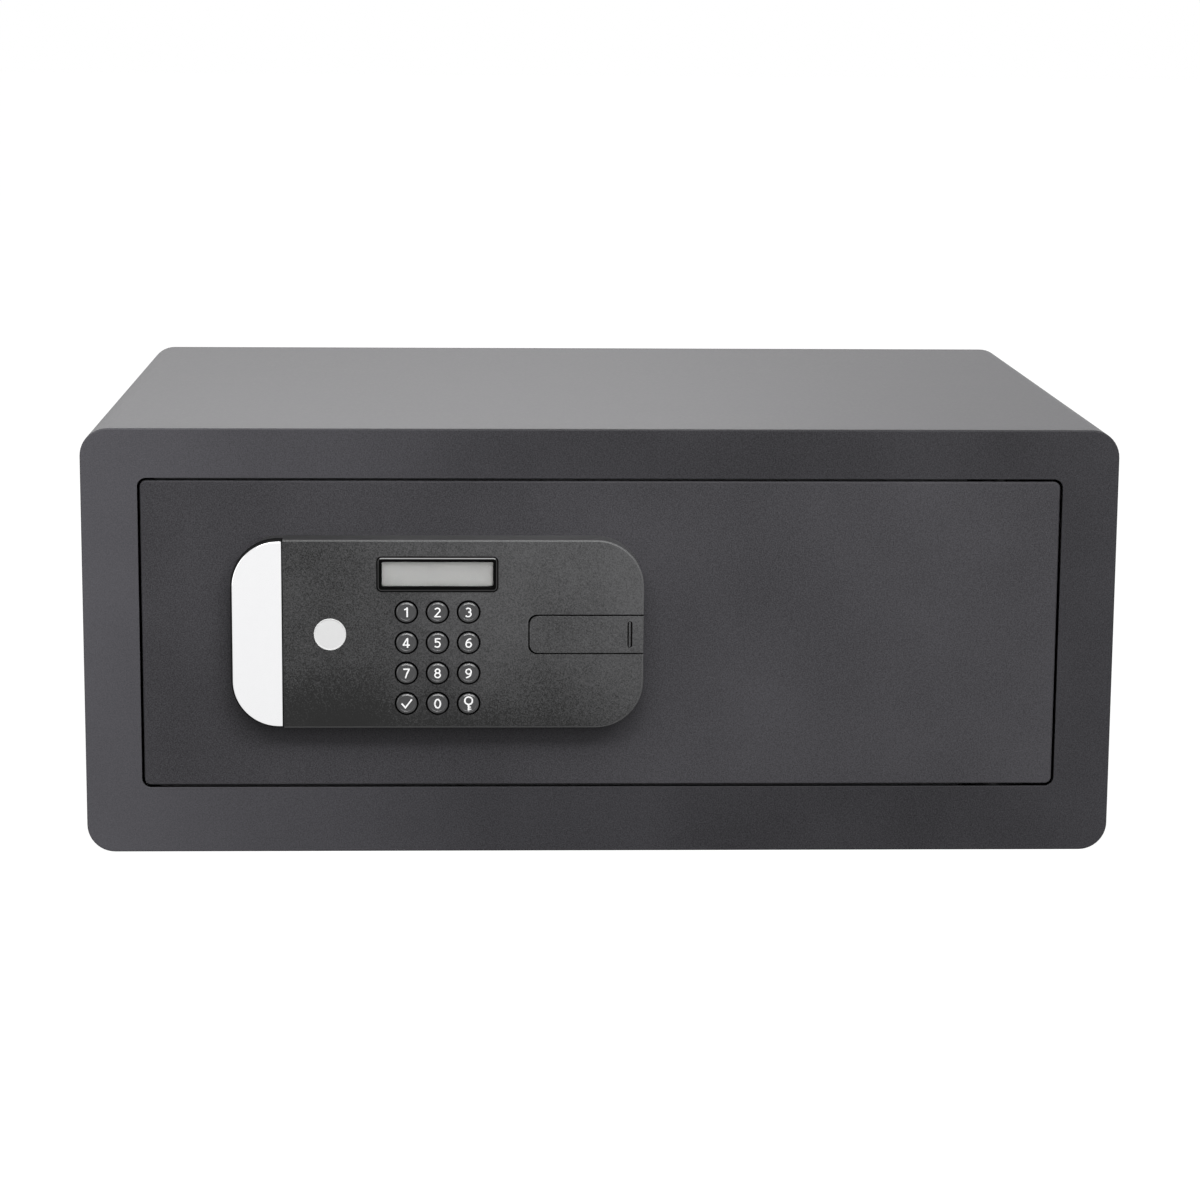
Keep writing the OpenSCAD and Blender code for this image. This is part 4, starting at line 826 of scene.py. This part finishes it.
def make_display_rim():
    """The rim: a black front with one glossy facet that slopes inwards, and a plain foot behind."""
    low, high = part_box("display_rim")
    inner_low, inner_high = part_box("display_module")
    face = PANEL_FACE
    wide = (high.x - low.x) / MM
    tall = (high.z - low.z) / MM
    band = (wide - (inner_high.x - inner_low.x) / MM) / 2
    proud = (face - low.y) / MM
    foot = -(high.y - face) / MM
    slope = math.radians(RIM_SLOPE)
    ledge = proud - RIM_FACET * math.sin(slope)
    outline = [(0.0, 0.0), (0.0, RIM_FOOT_RING)]
    outline += [(RIM_EDGE - x, height)
                for x, height in arc((0, ledge - RIM_EDGE), RIM_EDGE, 0, 90, RIM_EDGE_STEPS)]
    outline += [(RIM_LEDGE + along * math.cos(slope), ledge + along * math.sin(slope))
                for along in (0, RIM_FACET_EDGE, RIM_FACET - RIM_FACET_EDGE, RIM_FACET)]
    outline += [(outline[-1][0] + RIM_STEP, proud), (band - RIM_EDGE, proud)]
    outline += arc((band - RIM_EDGE, proud - RIM_EDGE), RIM_EDGE, 80, 0, BEND_STEPS)
    outline += [(band, RIM_INNER_RING), (band, foot), (band - LENS_LIP, foot),
                (band - LENS_LIP, 0.0)]
    middle = (low + high) / 2
    form = bmesh.new()
    rings = []
    for inset, height in outline:
        side = max(RIM_CORNER - inset, RIM_INNER_CORNER)
        half_w, half_h = wide / 2 - inset - side, tall / 2 - inset - side
        line = []
        for sign_x, sign_z, start in ((1, 1, 0), (-1, 1, 90), (-1, -1, 180), (1, -1, 270)):
            line += arc((sign_x * half_w, sign_z * half_h), side, start, start + 90,
                        ROUND_STEPS)
        rings.append([form.verts.new((middle.x + x * MM, face - height * MM, middle.z + z * MM))
                      for x, z in line])
    count = len(rings[0])
    for i, (a, b) in enumerate(zip(rings, rings[1:] + rings[:1])):
        for k in range(count):
            m = (k + 1) % count
            wall = form.faces.new([a[k], a[m], b[m], b[k]])
            wall.smooth = True
            wall.material_index = int(i not in RIM_GLOSSY)
    bmesh.ops.recalc_face_normals(form, faces=form.faces)
    mesh = mesh_of(form, "display_rim")
    mesh.set_sharp_from_angle(angle=math.radians(RIM_SHARP))
    stand_for(new_piece("display_rim_finished", mesh), "display_rim", GLOSS_BLACK, RIM_BLACK)


def make_key_cover():
    """The sliding cover, drawn in a little at its face, with a deeper finger groove and a rib. Its
    sides and its deeper faces are painted dark, as painted shade in the gap round it and in the
    groove.
    """
    low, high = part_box("key_cover")
    form = merged_form("key_cover")

    def at_depth(depth):
        return [vert for vert in form.verts
                if abs(vert.co.y - low.y - depth * MM) < LEVEL_WITHIN * MM]

    front = at_depth(0)
    left, right = min(vert.co.x for vert in front), max(vert.co.x for vert in front)
    foot, head = min(vert.co.z for vert in front), max(vert.co.z for vert in front)
    middle = (foot + head) / 2
    for vert in front:
        vert.co.x += COVER_DRAFT * MM * (right - vert.co.x) / (right - left)
        vert.co.z -= COVER_DRAFT * MM * (vert.co.z - middle) / ((head - foot) / 2)
    groove_floor = [vert for vert in at_depth(GROOVE_DEPTH) if vert.co.x > (left + right) / 2]
    for vert in groove_floor:
        vert.co.y += GROOVE_SUNK * MM
    rib_x = sum(vert.co.x for vert in groove_floor) / len(groove_floor) / MM
    rib_foot = min(vert.co.z for vert in groove_floor) / MM + RIB_END
    rib_head = max(vert.co.z for vert in groove_floor) / MM - RIB_END
    half = RIB_WIDTH / 2
    rib = (arc((rib_x, rib_head - half), half, 0, 180, ROUND_STEPS)
           + arc((rib_x, rib_foot + half), half, 180, 360, ROUND_STEPS))
    rib_root = GROOVE_DEPTH + GROOVE_SUNK + RIB_ROOTED
    raised = prism(form, rib, low.y + RIB_DEPTH * MM, low.y + rib_root * MM)
    # Painted shade: the sides and the faces deeper than SHADED_FROM, except the rib's front, take
    # the dark finish.
    for face in form.faces:
        inner = face.calc_center_median().y > low.y + SHADED_FROM * MM
        side = abs(face.normal.y) < SIDEWAYS_BELOW and face not in raised
        face.material_index = int(inner or side)
    softened("key_cover", COVER_EASE, form=form, materials=[MOULDED_PANEL_WITH_PAINTED_SHEEN, CAP_SHELL_AND_PAINTED_SHADE])


def make_inlay():
    """The plain disc: a shallow turned dish with a fine bright rim."""
    low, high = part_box("round_inlay")
    radius = (high.x - low.x) / 2 / MM - INLAY_EASE
    depth = (high.y - low.y) / MM
    rim = radius - INLAY_RIM
    outline = (
        [(0, 0), (radius, 0), (radius, depth - INLAY_ROUND)]
        + arc((radius - INLAY_ROUND, depth - INLAY_ROUND), INLAY_ROUND, 15, 90, FINE_STEPS)
        + [(rim, depth), (rim - INLAY_STEP, depth - INLAY_DISH),
           (rim - 2 * INLAY_STEP, depth - INLAY_DISH), (0, depth - INLAY_DISH)]
    )
    form = bmesh.new()
    back = Vector(((low.x + high.x) / 2, high.y, (low.z + high.z) / 2))
    lathed(form, outline, back, (0, -1, 0))
    stand_for(new_piece("round_inlay_finished", mesh_of(form, "round_inlay")), "round_inlay")


# Inside the door. Sizes are in mm.

CELL_FOOT_SUNK = 0.25
CELL_FOOT_BEND = 0.6
CELL_FOOT_LIP = 1.2
CELL_FOOT_ROUND = 0.1
CELL_HEAD_SUNK = 1.25
CELL_HEAD_BEND = 0.8
CELL_HEAD_LIP = 1.4
CELL_SHOULDER = 0.55
NUB_RADIUS = 2.75
NUB_ROUND = 0.25
NUB_FLANGE_RADIUS = 4.2
NUB_FLANGE_SUNK = 0.25
NUB_FLANGE_PROUD = 0.15
NUB_FOOT = 0.25
NUB_BEVEL = 0.2
CELL_STEPS = 48
NUB_STEPS = 32
SCREW_SIDES = 40
SCREW_HEAD = 2.4
# The head has three tiers: their shares of its height, and of its radius at the top of each.
TIER_HEIGHTS = (0.45, 0.3, 0.25)
TIER_RADII = (0.93, 0.72, 0.35)
SCREW_SIZES = [
    ("Head Radius", 4.0), ("Head Height", SCREW_HEAD), ("Shank Radius", 2.0),
    ("Shank Length", 12.0), ("Recess Width", 1.0), ("Recess Length", 4.6), ("Recess Depth", 1.4),
]


def make_cells():
    """AA cells: a sleeve that is drawn in over both ends, a flat foot and a nub."""
    form = bmesh.new()
    for k, (low, high) in enumerate(solid_boxes("batteries")):
        radius = (high.x - low.x) / 2 / MM
        length = (high.z - low.z) / MM
        middle = (low + high) / 2
        up = -1 if k % 2 else 1
        foot = Vector((middle.x, middle.y, low.z if up > 0 else high.z))
        head = length - CELL_HEAD_SUNK
        sleeve = (
            [(0, CELL_FOOT_SUNK), (radius - CELL_FOOT_LIP, CELL_FOOT_SUNK),
             (radius - CELL_FOOT_LIP + CELL_FOOT_ROUND, 0.0),
             (radius - CELL_FOOT_BEND - CELL_FOOT_ROUND, 0.0)]
            + arc((radius - CELL_FOOT_BEND, CELL_FOOT_BEND), CELL_FOOT_BEND, -80, 0, FINE_STEPS)
            + arc((radius - CELL_HEAD_BEND, head - CELL_SHOULDER), CELL_HEAD_BEND, 0, 85,
                  BEND_STEPS)
            + [(radius - CELL_HEAD_LIP, head), (0, head)]
        )
        lathed(form, sleeve, foot, (0, 0, up), CELL_STEPS)
        nub = [(0, head - NUB_FLANGE_SUNK), (NUB_FLANGE_RADIUS, head - NUB_FLANGE_SUNK),
               (NUB_FLANGE_RADIUS, head + NUB_FLANGE_PROUD), (NUB_RADIUS, head + NUB_FOOT),
               (NUB_RADIUS, length - NUB_BEVEL), (NUB_RADIUS - NUB_ROUND, length), (0, length)]
        lathed(form, nub, foot, (0, 0, up), NUB_STEPS, 1)
    piece = new_piece("batteries_finished", mesh_of(form, "batteries"))
    stand_for(piece, "batteries", CELL_SLEEVE, NICKEL)


def screw_tree():
    """Pan-head screws with a cross recess, one on each point, heads along +Z."""
    inputs = [("Geometry", "NodeSocketGeometry", None)]
    inputs += [(label, "NodeSocketFloat", value * MM) for label, value in SCREW_SIZES]
    inputs += [("Turn", "NodeSocketRotation", None), ("Material", "NodeSocketMaterial", None)]
    outputs = [("Geometry", "NodeSocketGeometry")]
    tree, given, result = new_group("cross_head_screws", inputs, outputs, "GeometryNodeTree")
    link = tree.links.new

    def lifted(geometry, height):
        node = tree.nodes.new("GeometryNodeTransform")
        place = tree.nodes.new("ShaderNodeCombineXYZ")
        link(height, place.inputs["Z"])
        link(geometry, node.inputs["Geometry"])
        link(place.outputs[0], node.inputs["Translation"])
        return node.outputs[0]

    def cone(top, bottom, height, at):
        node = tree.nodes.new("GeometryNodeMeshCone")
        node.inputs["Vertices"].default_value = SCREW_SIDES
        link(top, node.inputs["Radius Top"])
        link(bottom, node.inputs["Radius Bottom"])
        link(height, node.inputs["Depth"])
        return lifted(node.outputs["Mesh"], at)

    def share_of(size, share):
        return maths(tree, "MULTIPLY", size, share)

    head_r, head_h = given.outputs["Head Radius"], given.outputs["Head Height"]
    shank_r, shank_l = given.outputs["Shank Radius"], given.outputs["Shank Length"]
    low_h, mid_h, top_h = (share_of(head_h, share) for share in TIER_HEIGHTS)
    mid_r, top_r, crown_r = (share_of(head_r, share) for share in TIER_RADII)
    stack = [
        cone(shank_r, shank_r, maths(tree, "ADD", shank_l, low_h), share_of(shank_l, -1.0)),
        cone(mid_r, head_r, low_h, share_of(head_h, 0.0)),
        cone(top_r, mid_r, mid_h, low_h),
        cone(crown_r, top_r, top_h, maths(tree, "ADD", low_h, mid_h)),
    ]
    body = tree.nodes.new("GeometryNodeMeshBoolean")
    body.operation = "UNION"
    for part in stack:
        link(part, body.inputs["Mesh 2"])
    cross = tree.nodes.new("GeometryNodeMeshBoolean")
    cross.operation = "UNION"
    width, length = given.outputs["Recess Width"], given.outputs["Recess Length"]
    depth = share_of(given.outputs["Recess Depth"], 2.0)
    for across, along in ((width, length), (length, width)):
        bar = tree.nodes.new("GeometryNodeMeshCube")
        size = tree.nodes.new("ShaderNodeCombineXYZ")
        link(across, size.inputs["X"])
        link(along, size.inputs["Y"])
        link(depth, size.inputs["Z"])
        link(size.outputs[0], bar.inputs["Size"])
        link(lifted(bar.outputs["Mesh"], head_h), cross.inputs["Mesh 2"])
    cut = tree.nodes.new("GeometryNodeMeshBoolean")
    cut.operation = "DIFFERENCE"
    link(body.outputs["Mesh"], cut.inputs["Mesh 1"])
    link(cross.outputs["Mesh"], cut.inputs["Mesh 2"])
    spread = tree.nodes.new("GeometryNodeInstanceOnPoints")
    link(given.outputs["Geometry"], spread.inputs["Points"])
    link(cut.outputs["Mesh"], spread.inputs["Instance"])
    link(given.outputs["Turn"], spread.inputs["Rotation"])
    real = tree.nodes.new("GeometryNodeRealizeInstances")
    link(spread.outputs[0], real.inputs[0])
    coat = tree.nodes.new("GeometryNodeSetMaterial")
    link(real.outputs[0], coat.inputs["Geometry"])
    link(given.outputs["Material"], coat.inputs["Material"])
    link(coat.outputs[0], result.inputs["Geometry"])
    return tree


def set_inputs(modifier, values):
    """Sets a Geometry Nodes modifier's named inputs through the identifiers of their sockets."""
    for item in modifier.node_group.interface.items_tree:
        if item.in_out == "INPUT" and item.name in values:
            modifier[item.identifier] = values[item.name]


def make_cover_screws():
    """A screw on the place of each one that the CAD node holds."""
    places = [((low.x + high.x) / 2, high.y - SCREW_HEAD * MM, (low.z + high.z) / 2)
              for low, high in solid_boxes("cover_screws")]
    mesh = bpy.data.meshes.new("cover_screws")
    mesh.from_pydata(places, [], [])
    piece = new_piece("cover_screws_draft", mesh)
    modifier = piece.modifiers.new("screws", "NODES")
    modifier.node_group = screw_tree()
    set_inputs(modifier, {"Turn": (-math.pi / 2, 0.0, 0.0), "Material": ZINC_PLATE})
    stand_for(settled(piece, "cover_screws_finished"), "cover_screws")


# The felt on the floor. Sizes are in mm.

CARPET_CELL = 4
CARPET_HOLE = 12.5
CARPET_WAVES = 6
CARPET_SEED = 5
CARPET_WAVE_DEPTH = 0.22
# Both are drawn at random between these: radians per metre, and where a wave starts.
CARPET_WAVE_TURN = (8, 30)
CARPET_WAVE_START = (0, 6)
CARPET_LOW = 0.25
CARPET_EDGE_DROP = 0.7
CARPET_EDGE_WIDTH = 1.6
CUTTER_BELOW = 2
CUTTER_HEIGHT = 9
HOLE_STEPS = 64


def felt_sheet(low, high):
    """A closed sheet on a grid: flat below, a little uneven above, and thinner along its edges."""
    columns = round((high.x - low.x) / (CARPET_CELL * MM))
    rows = round((high.y - low.y) / (CARPET_CELL * MM))
    chance = random.Random(CARPET_SEED)
    waves = [(chance.uniform(*CARPET_WAVE_TURN), chance.uniform(*CARPET_WAVE_TURN),
              chance.uniform(*CARPET_WAVE_START)) for _ in range(CARPET_WAVES)]

    def height(px, py):
        wave = sum(math.sin(px * a + py * b + c) for a, b, c in waves) / len(waves)
        edge = min(px - low.x, high.x - px, py - low.y, high.y - py)
        drop = CARPET_EDGE_DROP * MM * math.exp(-edge / (CARPET_EDGE_WIDTH * MM))
        return high.z - CARPET_LOW * MM + CARPET_WAVE_DEPTH * MM * wave - drop

    form = bmesh.new()
    tops, feet = [], []
    for i in range(columns + 1):
        px = low.x + (high.x - low.x) * i / columns
        places = [(px, low.y + (high.y - low.y) * j / rows) for j in range(rows + 1)]
        pairs = [(form.verts.new((*place, height(*place))), form.verts.new((*place, low.z)))
                 for place in places]
        tops.append([top for top, foot in pairs])
        feet.append([foot for top, foot in pairs])
    for i in range(columns):
        for j in range(rows):
            form.faces.new([tops[i][j], tops[i + 1][j], tops[i + 1][j + 1], tops[i][j + 1]])
            form.faces.new([feet[i][j + 1], feet[i + 1][j + 1], feet[i + 1][j], feet[i][j]])
    for i in range(columns):
        for one, other, j in ((feet, tops, 0), (tops, feet, rows)):
            form.faces.new([one[i][j], one[i + 1][j], other[i + 1][j], other[i][j]])
    for j in range(rows):
        for one, other, i in ((tops, feet, 0), (feet, tops, columns)):
            form.faces.new([one[i][j], one[i][j + 1], other[i][j + 1], other[i][j]])
    for face in form.faces:
        face.smooth = True
    bmesh.ops.recalc_face_normals(form, faces=form.faces)
    return new_piece("carpet_draft", mesh_of(form, "floor_mat"))


def make_carpet():
    """Needle felt that lies flat on the floor, with room for the washers of the anchor bolts."""
    low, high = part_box("floor_mat")
    anchor = next(mount for mount in frame["record"]["mounts"] if mount["name"] == "base_anchor")
    x, y, _ = anchor["pos_m"]
    spacing = anchor["dims"]["spacing_x_mm"]
    outline = [(0, 0), (CARPET_HOLE, 0), (CARPET_HOLE, CUTTER_HEIGHT), (0, CUTTER_HEIGHT)]
    form = bmesh.new()
    for side in (-1, 1):
        at = Vector((x + side * spacing / 2 * MM, y, low.z - CUTTER_BELOW * MM))
        lathed(form, outline, at, (0, 0, 1), HOLE_STEPS)
    cutter = new_piece("carpet_holes", mesh_of(form, "carpet_holes"))
    sheet = felt_sheet(low, high)
    cut = sheet.modifiers.new("holes", "BOOLEAN")
    cut.operation = "DIFFERENCE"
    cut.solver = "EXACT"
    cut.object = cutter
    piece = settled(sheet, "floor_carpet")
    bpy.data.objects.remove(cutter)
    stand_for(piece, "floor_mat")


# The rounding of the folded, moulded and turned pieces' edges, in mm
SOFT_EDGES = {
    "panel_housing": 0.22, "panel_base": 0.3,
    "door_cover": 0.3, "battery_holder": 0.25, "battery_cover": 0.25,
    "reset_switch": 0.2, "reset_button": 0.2, "striker_bar": 0.4, "door_stop_upper": 0.2,
    "door_stop_lower": 0.2, "hinge_lug_upper": 0.4, "hinge_lug_lower": 0.4,
    "hinge_block_upper": 0.4, "hinge_block_lower": 0.4, "locking_bolts": 0.3,
    "lock_cylinder": 0.15, "override_plug": 0.1,
}
FRONT_EASE = 0.25
BACK_EASE = 0.4
FRONT_EDGES_WITHIN = 1.2
BACK_EDGES_WITHIN = 0.5
DOOR_EASE = 0.25
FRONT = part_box("front_frame")[0].y
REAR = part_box("back_panel")[1].y

add_camera()
add_world()
add_floor()
for lamp_name, setting in LAMPS.items():
    add_lamp(lamp_name, *setting)
dress_cad_nodes()
softened("front_frame", FRONT_EASE, materials=[FRAME_COAT_WITH_PAINTED_LIGHT],
         where=lambda place: place.y < FRONT + FRONT_EDGES_WITHIN * MM)
softened("back_panel", BACK_EASE,
         where=lambda place: place.y > REAR - BACK_EDGES_WITHIN * MM)
softened("door_plate", DOOR_EASE, materials=[DOOR_COAT_WITH_PAINTED_LIGHT])
for node_name, edge_ease in SOFT_EDGES.items():
    softened(node_name, edge_ease)
for node_name in frame["nodes"]:
    if node_name in SIGNS:
        make_key(node_name)
make_inlay()
make_grip_cap()
make_display_rim()
make_key_cover()
make_cells()
make_cover_screws()
make_carpet()
